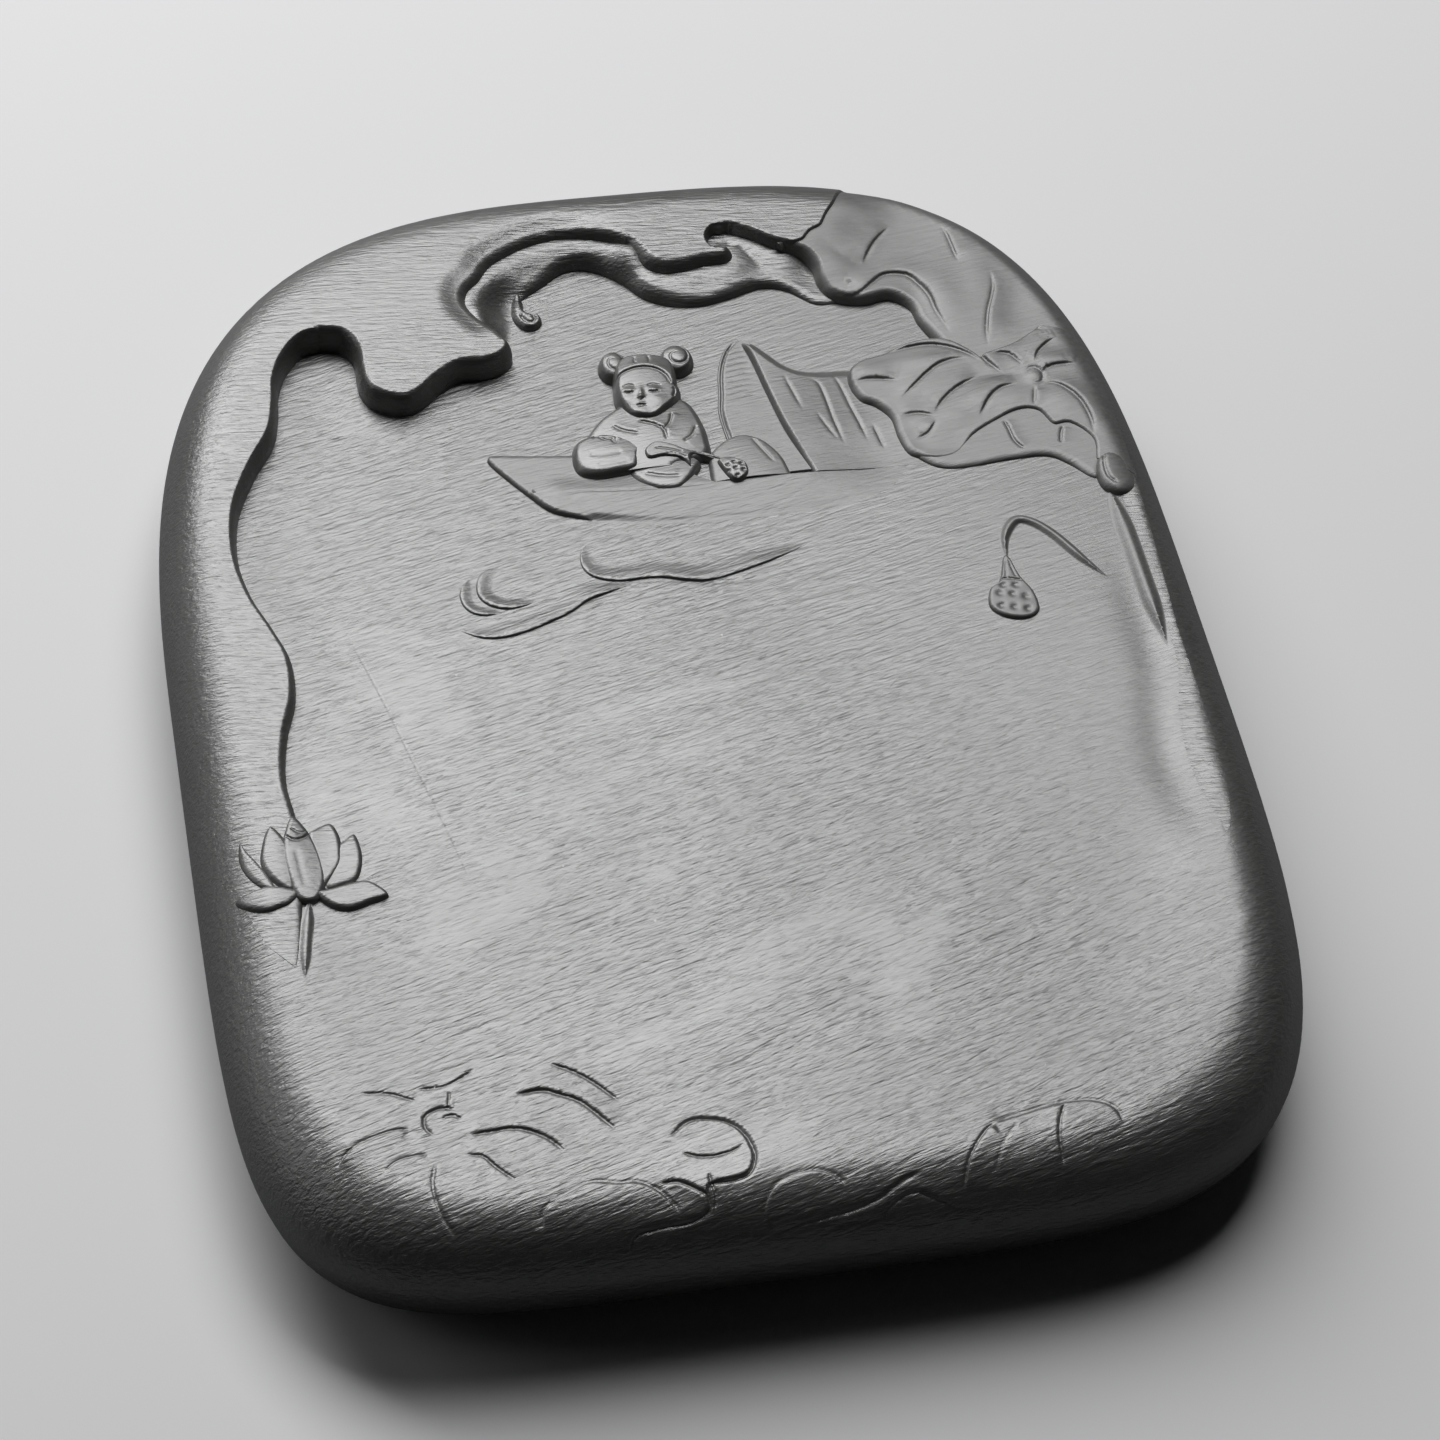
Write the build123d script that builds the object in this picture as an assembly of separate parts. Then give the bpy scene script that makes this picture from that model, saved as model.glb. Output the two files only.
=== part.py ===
import os
from math import cos, pi, sin

from build123d import *

os.makedirs("parts", exist_ok=True)

# The stone lies flat on the floor, its cloud end toward +Y and its underside at z = 0.
# Lengths are in millimetres. Shares are parts of the half width and the half length.

# Overall size of the stone
width = 160
length = 208
height = 24

# The rounded block the carving is cut from
flower_proud = 0.4
rim_height = height - flower_proud
girth_height = 0.55 * rim_height
top_round = 10
base_round = 12
head_right_power = 3.55
head_left_power = 2.90
foot_left_power = 6.0
foot_right_power = 4.4
outline_points = 36
rounding_steps = 4

# The ink pool slopes down toward the clouds and the left wall, the hall is almost level
pool_depth_middle = 1.57
pool_fall_to_head = 4.34
pool_rise_to_right = 1.235
hall_sink = 0.5
foot_seat_depth = 0.5
foot_seat_lean = 0.25
foot_seat_start = 0.86

# Heights of the raised carving above the pool floor
ribbon_rise = 2.4
scroll_drop = 0.3
hull_rise = 1.1
awning_rise = 1.7
mat_rise = 0.7
curl_rise = 1.5
stalk_rise = 0.7
ripple_rise = 0.5
pod_rise = 1.1
torso_rise = 2.7
sleeve_rise = 3.2
knee_rise = 2.1
arm_rise = 2.7
bundle_rise = 1.5
held_pod_rise = 2.2
head_rise = 3.7
bun_rise = 2.7
nose_rise = 0.45

# The tops of the two big leaves lean up toward the right edge
leaf_drop = 1.4
leaf_lean = 1.9
rear_leaf_drop = 0.5
flap_drop = 0.35

# Breadths of the thin bands
stalk_half_breadth = 1.3
arm_half_breadth = 1.6
ripple_half_breadth = 0.7

# Spans of the child's head, buns and other mounds, as half measures
head_half_across = 5.5
head_half_along = 7.8
bun_half_across = 2.6
bun_half_along = 3.2
nose_half_across = 0.9
nose_half_along = 1.6
held_pod_half = 2.4
figure_spot = (0.015, 0.537)
bun_left_spot = (-0.037, 0.584)
bun_right_spot = (0.093, 0.578)
nose_spot = (0.017, 0.524)
held_pod_spot = (0.148, 0.342)
torso_spot = (-0.015, 0.437)
torso_half_across = 12
torso_half_along = 11
sleeve_spot = (-0.085, 0.392)
sleeve_half_across = 9
sleeve_half_along = 8
knee_spot = (0.02, 0.347)
knee_half_across = 8
knee_half_along = 6
bundle_spot = (0.20, 0.337)
bundle_half_across = 7.5
bundle_half_along = 10
flower_spot = (-0.80, -0.33)
flower_half_across = 13.5
flower_half_along = 17
pod_spot = (0.615, 0.03)
pod_half_across = 6
pod_half_along = 9

# Room past a solid for every cut, and the ball that mounds are stretched from
over = 5
ball_radius = 1

half_width = width / 2
half_length = length / 2


# Flat shapes

def place(share):
    return Vector(share[0] * half_width, share[1] * half_length)


def corner_power(turn):
    if cos(turn) >= 0:
        return head_right_power if sin(turn) >= 0 else foot_right_power
    return head_left_power if sin(turn) >= 0 else foot_left_power


def block_point(turn, inset, level):
    power = corner_power(turn)
    reach = (abs(cos(turn)) ** power + abs(sin(turn)) ** power) ** (-1 / power)
    across = (half_width - inset) * reach * cos(turn)
    along = (half_length - inset) * reach * sin(turn)
    return Vector(across, along, level)


def block_section(inset, level):
    turns = [2 * pi * step / outline_points for step in range(outline_points)]
    points = [block_point(turn, inset, level) for turn in turns]
    return Face(Wire([Spline(*points, periodic=True)]))


def cornered_face(start, *stretches):
    """A flat face: each stretch is a curve from the end of the one before it."""
    edges = []
    last = place(start)
    for stretch in stretches:
        points = [last] + [place(share) for share in stretch]
        edges.append(Line(*points) if len(points) == 2 else Spline(*points))
        last = points[-1]
    if (last - place(start)).length > 0:
        edges.append(Line(last, place(start)))
    return Face(Wire(edges))


def round_face(*shares):
    return Face(Wire([Spline(*[place(share) for share in shares], periodic=True)]))


def ribbon_face(shares, half_breadth):
    """A band of even breadth along a curve, round at both ends."""
    line = Spline(*[place(share) for share in shares])
    steps = 3 * len(shares)
    left = []
    right = []
    for step in range(steps + 1):
        point = line @ (step / steps)
        along = line % (step / steps)
        side = Vector(-along.Y, along.X) * half_breadth
        left.append(point + side)
        right.append(point - side)
    tip = line @ 1 + (line % 1) * half_breadth
    tail = line @ 0 - (line % 0) * half_breadth
    edges = [Spline(*left), ThreePointArc(left[-1], tip, right[-1])]
    edges += [Spline(*reversed(right)), ThreePointArc(right[0], tail, left[0])]
    return Face(Wire(edges))


# Solid shapes

def rounded_block():
    sections = []
    for step in range(rounding_steps):
        turn = pi / 2 * step / rounding_steps
        inset = base_round * (1 - sin(turn))
        sections.append(block_section(inset, girth_height * (1 - cos(turn))))
    for step in range(rounding_steps + 1):
        turn = pi / 2 * step / rounding_steps
        inset = top_round * (1 - cos(turn))
        rise = (rim_height - girth_height) * sin(turn)
        sections.append(block_section(inset, girth_height + rise))
    return loft(sections)


def under_plane(level, lean_x, lean_y):
    """Everything under a plane that is at a level in the middle and leans by two slopes."""
    facing = Plane(origin=(0, 0, level), z_dir=(-lean_x, -lean_y, 1))
    size = 2 * length
    return facing * Box(size, size, height + over, align=(Align.CENTER, Align.CENTER, Align.MAX))


def pool_slopes():
    return pool_rise_to_right / half_width, -pool_fall_to_head / half_length


def pool_level(share):
    lean_x, lean_y = pool_slopes()
    spot = place(share)
    return rim_height - pool_depth_middle + lean_x * spot.X + lean_y * spot.Y


def under_pool(rise):
    lean_x, lean_y = pool_slopes()
    return under_plane(rim_height - pool_depth_middle + rise, lean_x, lean_y)


def under_leaf(drop):
    lean_x = leaf_lean / half_width
    return under_plane(rim_height - leaf_drop - leaf_lean / 2 - drop, lean_x, 0)


def post(face):
    """A flat face drawn out from the girth to over the top."""
    return extrude(Pos(0, 0, girth_height) * face, amount=height - girth_height + over, dir=(0, 0, 1))


def mound(middle, half_across, half_along, rise, turn=0):
    """The upper part of an egg shape whose middle lies in the pool floor."""
    spot = place(middle)
    egg = scale(Sphere(ball_radius), by=(half_across, half_along, rise))
    return Pos(spot.X, spot.Y, pool_level(middle)) * Rot(0, 0, turn) * egg


def less(shape, *others):
    for other in others:
        shape = shape - other
    return shape


# Carved edges, as shares chosen by hand

wall_shares = [
    (-0.845, -0.50), (-0.828, -0.44), (-0.812, -0.36), (-0.803, -0.26), (-0.812, -0.17),
    (-0.798, -0.09), (-0.772, -0.02), (-0.768, 0.05), (-0.79, 0.11), (-0.822, 0.18),
    (-0.838, 0.26), (-0.826, 0.35), (-0.785, 0.43), (-0.735, 0.50), (-0.717, 0.56),
    (-0.708, 0.61), (-0.685, 0.655), (-0.648, 0.69), (-0.61, 0.698)]
tongue_shares = [
    (-0.572, 0.69), (-0.552, 0.66), (-0.551, 0.62), (-0.549, 0.59), (-0.53, 0.56),
    (-0.475, 0.538), (-0.43, 0.55), (-0.39, 0.578), (-0.345, 0.60), (-0.295, 0.60),
    (-0.252, 0.612), (-0.232, 0.634), (-0.238, 0.66)]
tongue_back_shares = [
    (-0.27, 0.677), (-0.315, 0.705), (-0.342, 0.737), (-0.328, 0.77), (-0.285, 0.80),
    (-0.25, 0.84), (-0.195, 0.866), (-0.12, 0.872)]
ribbon_edge_shares = [
    (-0.221, 0.697), (-0.215, 0.722), (-0.209, 0.75), (-0.183, 0.772), (-0.138, 0.797),
    (-0.093, 0.822), (-0.053, 0.827), (-0.011, 0.812), (0.027, 0.784), (0.062, 0.747),
    (0.112, 0.724), (0.177, 0.716), (0.242, 0.727), (0.307, 0.742), (0.357, 0.73),
    (0.407, 0.694)]
head_rim_edge_shares = [(-0.06, 0.862), (0.0, 0.85), (0.04, 0.83)]
scroll_edge_shares = [
    (0.052, 0.817), (0.07, 0.789), (0.105, 0.771), (0.15, 0.77), (0.195, 0.777),
    (0.245, 0.78), (0.264, 0.797), (0.258, 0.815), (0.24, 0.819)]
scroll_curl_shares = [(0.222, 0.813), (0.216, 0.831), (0.232, 0.85), (0.262, 0.85)]
scroll_back_shares = [(0.30, 0.832), (0.335, 0.812), (0.37, 0.797)]
rear_leaf_side_shares = [
    (0.395, 0.797), (0.415, 0.803), (0.434, 0.82), (0.46, 0.832), (0.48, 0.858), (0.50, 0.88)]
rear_leaf_edge_shares = [
    (0.40, 0.786), (0.418, 0.762), (0.421, 0.728), (0.437, 0.70), (0.475, 0.684),
    (0.515, 0.68), (0.56, 0.685), (0.595, 0.66)]
front_leaf_top_shares = [
    (0.652, 0.567), (0.604, 0.575), (0.554, 0.568), (0.504, 0.553), (0.459, 0.545),
    (0.429, 0.524), (0.422, 0.49)]
front_leaf_left_shares = [
    (0.437, 0.461), (0.464, 0.445), (0.486, 0.417), (0.49, 0.377), (0.501, 0.344),
    (0.519, 0.33)]
fold_shares = [
    (0.559, 0.321), (0.604, 0.328), (0.644, 0.36), (0.689, 0.381), (0.744, 0.399),
    (0.782, 0.394), (0.804, 0.362), (0.839, 0.36), (0.872, 0.325), (0.866, 0.285)]
flap_edge_shares = [
    (0.844, 0.254), (0.812, 0.284), (0.774, 0.305), (0.704, 0.306), (0.604, 0.30),
    (0.554, 0.307), (0.519, 0.33)]
bow_shares = [(-0.324, 0.418), (-0.294, 0.378), (-0.259, 0.338), (-0.219, 0.30), (-0.144, 0.274)]
keel_shares = [(0.004, 0.251), (0.184, 0.245), (0.344, 0.253), (0.444, 0.275), (0.494, 0.318)]
mat_shares = [
    (0.151, 0.47), (0.161, 0.515), (0.171, 0.56), (0.186, 0.595), (0.206, 0.62), (0.228, 0.63)]
awning_front_shares = [(0.242, 0.58), (0.256, 0.495), (0.272, 0.415), (0.304, 0.321)]
awning_roof_shares = [(0.256, 0.62), (0.281, 0.595), (0.311, 0.563), (0.351, 0.545), (0.436, 0.539)]


# Rims and clouds

def left_rim_post():
    return post(cornered_face(
        wall_shares[0], wall_shares[1:], [(-0.80, 0.86)], [(-1.10, 0.86)], [(-1.10, -0.50)]))


def cloud_tongue_post():
    return post(cornered_face(
        (-0.61, 0.698), tongue_shares, tongue_back_shares, [(-0.10, 1.10)],
        [(-1.10, 1.10)], [(-1.10, 0.86)], [(-0.80, 0.86)]))


def cloud_ribbon_post():
    return post(cornered_face(
        (-0.238, 0.66), ribbon_edge_shares, [(0.45, 0.705)], [(0.40, 0.80)], [(0.30, 0.90)],
        [(-0.12, 0.90)], [(-0.40, 0.80)], [(-0.32, 0.66)]))


def cloud_scroll_post():
    return post(cornered_face(
        (0.04, 0.83), scroll_edge_shares, scroll_curl_shares, scroll_back_shares,
        rear_leaf_side_shares[:1], rear_leaf_side_shares[1:], [(0.52, 0.91)], [(0.06, 0.91)]))


def head_rim_post():
    return post(cornered_face(
        (-0.12, 0.872), head_rim_edge_shares, [(0.06, 0.91)], [(0.52, 0.91)],
        [(0.60, 1.10)], [(-0.10, 1.10)]))


def cloud_curl_post():
    return post(round_face(
        (-0.21, 0.729), (-0.204, 0.707), (-0.182, 0.697), (-0.16, 0.706),
        (-0.154, 0.724), (-0.17, 0.739), (-0.192, 0.752)))


def right_rim_post():
    return post(cornered_face(
        (0.893, 0.25), [(0.895, 0.12), (0.895, -0.05), (0.887, -0.15), (0.862, -0.22),
        (0.85, -0.30), (0.853, -0.37), (0.868, -0.43), (0.88, -0.50)],
        [(1.10, -0.50)], [(1.10, 0.25)]))


# Leaves at the right

def rear_leaf_post():
    return post(cornered_face(
        scroll_back_shares[-1], rear_leaf_edge_shares, [(0.605, 0.62), (0.64, 0.55)],
        [(0.75, 0.50)], [(1.10, 0.56)], [(1.10, 1.10)], [(0.60, 1.10)], [(0.52, 0.91)],
        [rear_leaf_side_shares[-1]], rear_leaf_side_shares[-2::-1], [scroll_back_shares[-1]]))


def front_leaf_post():
    return post(cornered_face(
        (0.704, 0.527), front_leaf_top_shares, front_leaf_left_shares, fold_shares,
        [(0.904, 0.262)], [(1.104, 0.262)], [(1.104, 0.572)],
        [(0.834, 0.574), (0.764, 0.542), (0.704, 0.527)]))


def leaf_flap_post():
    return post(cornered_face((0.519, 0.33), fold_shares, flap_edge_shares))


def leaf_tip_post():
    return post(round_face(
        (0.858, 0.252), (0.864, 0.222), (0.89, 0.207), (0.922, 0.217), (0.94, 0.25),
        (0.93, 0.282), (0.90, 0.295), (0.87, 0.284)))


def leaf_stalk_post():
    return post(cornered_face(
        (0.866, 0.235), [(0.872, 0.12), (0.874, 0.0), (0.882, -0.10)], [(0.893, -0.10)],
        [(0.897, 0.0), (0.896, 0.12), (0.893, 0.235)]))


def seed_pod_post():
    return post(round_face(
        (0.619, 0.105), (0.596, 0.062), (0.57, 0.044), (0.567, 0.01), (0.592, -0.01),
        (0.632, -0.02), (0.66, -0.006), (0.66, 0.03), (0.645, 0.065), (0.633, 0.105)))


def pod_stalk_post():
    stalk_shares = [
        (0.627, 0.10), (0.638, 0.145), (0.668, 0.178), (0.70, 0.172), (0.735, 0.14),
        (0.775, 0.085), (0.812, 0.045)]
    return post(ribbon_face(stalk_shares, stalk_half_breadth))


# Boat and child

def boat_hull_post():
    return post(cornered_face(
        (-0.32, 0.434), bow_shares, keel_shares, [(0.105, 0.319)], [(-0.095, 0.334)],
        [(-0.195, 0.419)], [(-0.255, 0.426), (-0.32, 0.434)]))


def awning_mat_post():
    return post(cornered_face(
        (0.155, 0.319), [(0.14, 0.394), mat_shares[0]], mat_shares[1:], awning_front_shares))


def awning_post():
    return post(cornered_face(
        awning_front_shares[-1], awning_front_shares[-2::-1] + mat_shares[-1:], awning_roof_shares,
        [(0.525, 0.514)], [(0.525, 0.32)]))


def torso_post():
    return post(cornered_face(
        (0.035, 0.514), [(-0.045, 0.504), (-0.087, 0.479), (-0.11, 0.459), (-0.13, 0.439)],
        [(-0.075, 0.404), (-0.015, 0.392), (0.045, 0.392), (0.11, 0.382)],
        [(0.115, 0.414), (0.11, 0.454), (0.093, 0.499), (0.035, 0.514)]))


def sleeve_post():
    return post(round_face(
        (-0.15, 0.432), (-0.167, 0.399), (-0.16, 0.364), (-0.125, 0.351), (-0.08, 0.354),
        (-0.035, 0.359), (0.00, 0.379), (-0.005, 0.409), (-0.045, 0.429), (-0.095, 0.444)))


def knees_post():
    return post(round_face(
        (-0.055, 0.364), (-0.04, 0.334), (-0.01, 0.315), (0.035, 0.314), (0.065, 0.334),
        (0.087, 0.359), (0.055, 0.379), (0.005, 0.384)))


def arm_post():
    arm_shares = [(0.02, 0.404), (0.055, 0.386), (0.095, 0.376), (0.125, 0.359)]
    return post(ribbon_face(arm_shares, arm_half_breadth))


def bundle_post():
    return post(cornered_face(
        (0.145, 0.32), [(0.155, 0.389), (0.185, 0.416), (0.22, 0.404), (0.25, 0.366),
        (0.262, 0.32)]))


# Flower on the left rim

def bloom_post():
    return post(cornered_face(
        (-0.812, -0.24), [(-0.79, -0.262), (-0.772, -0.30), (-0.767, -0.345), (-0.78, -0.376),
        (-0.80, -0.388)], [(-0.825, -0.382), (-0.838, -0.345), (-0.84, -0.30), (-0.812, -0.24)]))


def petal_left_post():
    return post(cornered_face(
        (-0.857, -0.257), [(-0.835, -0.27), (-0.82, -0.30), (-0.83, -0.365)],
        [(-0.858, -0.355), (-0.88, -0.325), (-0.875, -0.29), (-0.857, -0.257)]))


def petal_right_post():
    return post(cornered_face(
        (-0.79, -0.275), [(-0.775, -0.262), (-0.746, -0.255), (-0.733, -0.29),
        (-0.738, -0.33), (-0.78, -0.36)]))


def petal_far_right_post():
    return post(cornered_face(
        (-0.74, -0.295), [(-0.704, -0.28)], [(-0.699, -0.315), (-0.715, -0.358)],
        [(-0.78, -0.365)]))


def petal_low_right_post():
    return post(cornered_face(
        (-0.665, -0.393), [(-0.685, -0.37), (-0.715, -0.362), (-0.755, -0.371),
        (-0.785, -0.378)], [(-0.765, -0.402), (-0.735, -0.41), (-0.665, -0.393)]))


def petal_low_left_post():
    return post(cornered_face(
        (-0.932, -0.372), [(-0.90, -0.365), (-0.865, -0.362), (-0.825, -0.372)],
        [(-0.85, -0.395), (-0.885, -0.402), (-0.932, -0.372)]))


def petal_far_left_post():
    return post(cornered_face(
        (-0.912, -0.275), [(-0.895, -0.30), (-0.872, -0.33), (-0.86, -0.365)],
        [(-0.90, -0.352), (-0.918, -0.315), (-0.912, -0.275)]))


def flower_stalk_post():
    stalk_shares = [(-0.803, -0.37), (-0.815, -0.42), (-0.829, -0.47), (-0.838, -0.53)]
    return post(ribbon_face(stalk_shares, stalk_half_breadth))


# Ripples under the boat

def upper_ripple_post():
    ripple_shares = [
        (-0.14, 0.236), (-0.172, 0.214), (-0.167, 0.179), (-0.125, 0.164), (-0.045, 0.163),
        (0.045, 0.146), (0.135, 0.161), (0.265, 0.184)]
    return post(ribbon_face(ripple_shares, ripple_half_breadth))


def lower_ripple_post():
    ripple_shares = [
        (-0.455, 0.092), (-0.395, 0.076), (-0.325, 0.084), (-0.245, 0.109), (-0.185, 0.136),
        (-0.085, 0.142)]
    return post(ribbon_face(ripple_shares, ripple_half_breadth))


def swirl_post():
    ripple_shares = [
        (-0.34, 0.204), (-0.373, 0.182), (-0.38, 0.149), (-0.35, 0.129), (-0.285, 0.127)]
    return post(ribbon_face(ripple_shares, ripple_half_breadth))


def outer_swirl_post():
    ripple_shares = [(-0.405, 0.186), (-0.419, 0.149), (-0.405, 0.122), (-0.355, 0.111)]
    return post(ribbon_face(ripple_shares, ripple_half_breadth))


# Leaves at the foot

def foot_leaf_post():
    return post(round_face(
        (-0.82, -0.80), (-0.76, -0.72), (-0.66, -0.722), (-0.57, -0.70), (-0.44, -0.71),
        (-0.35, -0.77), (-0.34, -0.85), (-0.43, -0.89), (-0.50, -0.93), (-0.62, -0.945),
        (-0.74, -0.89)))


def foot_bud_leaf_post():
    return post(cornered_face(
        (-0.50, -0.955), [(-0.48, -0.918), (-0.44, -0.906), (-0.405, -0.895), (-0.33, -0.906),
        (-0.285, -0.905), (-0.25, -0.88), (-0.262, -0.843)],
        [(-0.20, -0.82), (-0.143, -0.836), (-0.126, -0.87), (-0.126, -0.905),
        (-0.165, -0.922), (-0.20, -0.928), (-0.225, -0.957), (-0.30, -0.965), (-0.36, -0.975)]))


def foot_disc_post():
    return post(round_face(
        (-0.125, -0.955), (-0.08, -0.924), (-0.03, -0.922), (0.015, -0.945), (0.03, -0.965),
        (-0.04, -0.977), (-0.10, -0.975)))


def foot_right_leaf_post():
    return post(cornered_face(
        (0.215, -0.965), [(0.235, -0.93), (0.275, -0.895), (0.34, -0.88), (0.44, -0.867),
        (0.495, -0.885), (0.52, -0.925)]))


# The body first, then each carved piece on it, every one cut by those before it

block = rounded_block()
hall_plane = under_plane(rim_height - hall_sink, 0, 0)
seat_level = rim_height - foot_seat_depth + foot_seat_lean * foot_seat_start * half_length
foot_seat = under_plane(seat_level, 0, foot_seat_lean)
body = block & under_pool(0) & hall_plane
cap = block - body
foot_floor = block & hall_plane & foot_seat
flower_rise = height - pool_level(flower_spot)
flower_dome = mound(flower_spot, flower_half_across, flower_half_along, flower_rise)

pieces = {}


def carve(name, shape, *neighbours):
    """Keep a piece less the pieces beside it that were carved before, without loose splinters."""
    rest = less(shape, *[pieces[neighbour] for neighbour in neighbours])
    pieces[name] = rest.solids().sort_by(SortBy.VOLUME)[-1]


def on_floor(shape, rise):
    return cap & shape & under_pool(rise)


def in_foot(shape):
    return (block & shape) - foot_floor


def in_flower(shape):
    return (flower_dome & shape) - body


# Foot
carve("foot_bud_leaf", in_foot(foot_bud_leaf_post()))
carve("foot_leaf", in_foot(foot_leaf_post()), "foot_bud_leaf")
carve("foot_disc", in_foot(foot_disc_post()))
carve("foot_right_leaf", in_foot(foot_right_leaf_post()))

# Flower
carve("bloom", in_flower(bloom_post()))
carve("petal_left", in_flower(petal_left_post()), "bloom")
carve("petal_right", in_flower(petal_right_post()), "bloom")
carve("petal_far_right", in_flower(petal_far_right_post()), "bloom", "petal_right")
carve("petal_low_right", in_flower(petal_low_right_post()), "bloom", "petal_far_right")
carve("petal_low_left", in_flower(petal_low_left_post()), "bloom", "petal_left")
carve("petal_far_left", in_flower(petal_far_left_post()), "petal_left", "petal_low_left", "bloom")
carve("flower_stalk", on_floor(flower_stalk_post(), stalk_rise), "bloom", "petal_low_right",
      "petal_low_left")
flower = [name for name in pieces if name.startswith(("bloom", "petal", "flower"))]

# Rims and clouds
carve("left_rim", cap & left_rim_post(), *flower)
carve("cloud_tongue", cap & cloud_tongue_post())
carve("head_rim", cap & head_rim_post())
carve("cloud_scroll", cap & cloud_scroll_post() & under_plane(rim_height - scroll_drop, 0, 0))
carve("cloud_curl", on_floor(cloud_curl_post(), curl_rise))

# Leaves and pod at the right
carve("leaf_tip", cap & leaf_tip_post())
carve("leaf_flap", cap & leaf_flap_post() & under_leaf(flap_drop), "leaf_tip")
carve("front_leaf", cap & front_leaf_post() & under_leaf(0), "leaf_tip")
carve("rear_leaf", cap & rear_leaf_post() & under_leaf(rear_leaf_drop), "front_leaf")
carve("leaf_stalk", cap & leaf_stalk_post(), "leaf_tip", "leaf_flap")
carve("right_rim", cap & right_rim_post(), "leaf_tip", "leaf_stalk")
carve("cloud_ribbon", on_floor(cloud_ribbon_post(), ribbon_rise), "cloud_tongue", "head_rim",
      "cloud_scroll", "rear_leaf", "cloud_curl")
carve("seed_pod", on_floor(seed_pod_post() & mound(pod_spot, pod_half_across, pod_half_along,
      pod_rise), pod_rise))
carve("pod_stalk", on_floor(pod_stalk_post(), stalk_rise), "seed_pod")

# Child
face = mound(figure_spot, head_half_across, head_half_along, head_rise)
nose = mound(nose_spot, nose_half_across, nose_half_along, head_rise + nose_rise)
carve("child_head", cap & (face + nose))
carve("hair_bun_left", cap & mound(bun_left_spot, bun_half_across, bun_half_along, bun_rise),
      "child_head")
carve("hair_bun_right", cap & mound(bun_right_spot, bun_half_across, bun_half_along, bun_rise),
      "child_head")
sleeve_egg = mound(sleeve_spot, sleeve_half_across, sleeve_half_along, sleeve_rise)
carve("child_sleeve", cap & sleeve_post() & sleeve_egg, "child_head")
carve("held_pod", cap & mound(held_pod_spot, held_pod_half, held_pod_half, held_pod_rise))
carve("child_arm", on_floor(arm_post(), arm_rise), "child_sleeve", "held_pod")
torso_egg = mound(torso_spot, torso_half_across, torso_half_along, torso_rise)
carve("child_torso", cap & torso_post() & torso_egg, "child_head", "child_sleeve", "child_arm",
      "hair_bun_right")
knee_egg = mound(knee_spot, knee_half_across, knee_half_along, knee_rise)
carve("child_knees", cap & knees_post() & knee_egg, "child_sleeve", "child_torso", "child_arm")

# Boat
bundle_egg = mound(bundle_spot, bundle_half_across, bundle_half_along, bundle_rise)
carve("bundle", cap & bundle_post() & bundle_egg, "held_pod")
carve("boat_hull", on_floor(boat_hull_post(), hull_rise), "child_knees", "child_sleeve",
      "child_torso", "held_pod", "bundle", "child_arm")
carve("awning", on_floor(awning_post(), awning_rise), "boat_hull", "front_leaf", "bundle",
      "rear_leaf", "leaf_flap")
carve("awning_mat", on_floor(awning_mat_post(), mat_rise), "boat_hull", "awning", "bundle",
      "held_pod", "child_arm", "child_torso")

# Ripples
carve("upper_ripple", on_floor(upper_ripple_post(), ripple_rise))
carve("lower_ripple", on_floor(lower_ripple_post(), ripple_rise))
carve("swirl", on_floor(swirl_post(), ripple_rise))
carve("outer_swirl", on_floor(outer_swirl_post(), ripple_rise))

# The body gives room to the leaves set into its foot
foot = [name for name in pieces if name.startswith("foot")]
carve("stone_body", body, *foot)

for name, shape in pieces.items():
    export_step(shape, "parts/" + name + ".step")
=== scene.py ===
from math import cos, pi, radians, sin

import bpy
import numpy as np
from mathutils import Matrix, Quaternion, Vector
from mathutils.geometry import delaunay_2d_cdt


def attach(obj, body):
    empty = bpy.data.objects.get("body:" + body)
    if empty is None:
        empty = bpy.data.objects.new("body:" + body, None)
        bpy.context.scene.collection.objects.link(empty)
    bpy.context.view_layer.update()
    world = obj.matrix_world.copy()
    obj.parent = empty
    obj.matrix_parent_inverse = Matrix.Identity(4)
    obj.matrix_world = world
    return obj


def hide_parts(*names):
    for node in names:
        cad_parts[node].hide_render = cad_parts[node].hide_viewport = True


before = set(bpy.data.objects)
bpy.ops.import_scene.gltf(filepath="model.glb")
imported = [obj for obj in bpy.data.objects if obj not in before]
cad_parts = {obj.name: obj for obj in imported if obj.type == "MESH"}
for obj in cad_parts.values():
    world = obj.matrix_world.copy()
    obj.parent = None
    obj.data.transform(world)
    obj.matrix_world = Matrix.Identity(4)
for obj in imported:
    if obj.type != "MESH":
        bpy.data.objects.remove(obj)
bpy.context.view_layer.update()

# The model is made in millimetres and turned into metres when a mesh is built
MM = 0.001

# Sizes of the rounded block, as in the solids
half_width = 80
half_length = 104
height = 24
flower_proud = 0.4
rim_height = height - flower_proud
girth_height = 0.55 * rim_height
top_round = 10
base_round = 12
head_right_power = 3.55
head_left_power = 2.90
foot_left_power = 6.0
foot_right_power = 4.4

# The pool's ground
pool_depth_middle = 1.57
pool_fall_to_head = 4.34
pool_rise_to_right = 1.235
hall_sink = 0.5
hall_blend = 0.9

# The shoulder from the block's edge down to the hall at the foot, and where the rims end
shoulder_start = 8
shoulder_width = 18
rims_end = -0.31
rims_end_blend = 0.19
foot_seam_tilt = radians(28)
seam_change = -0.50
seam_blend = 0.16

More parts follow.
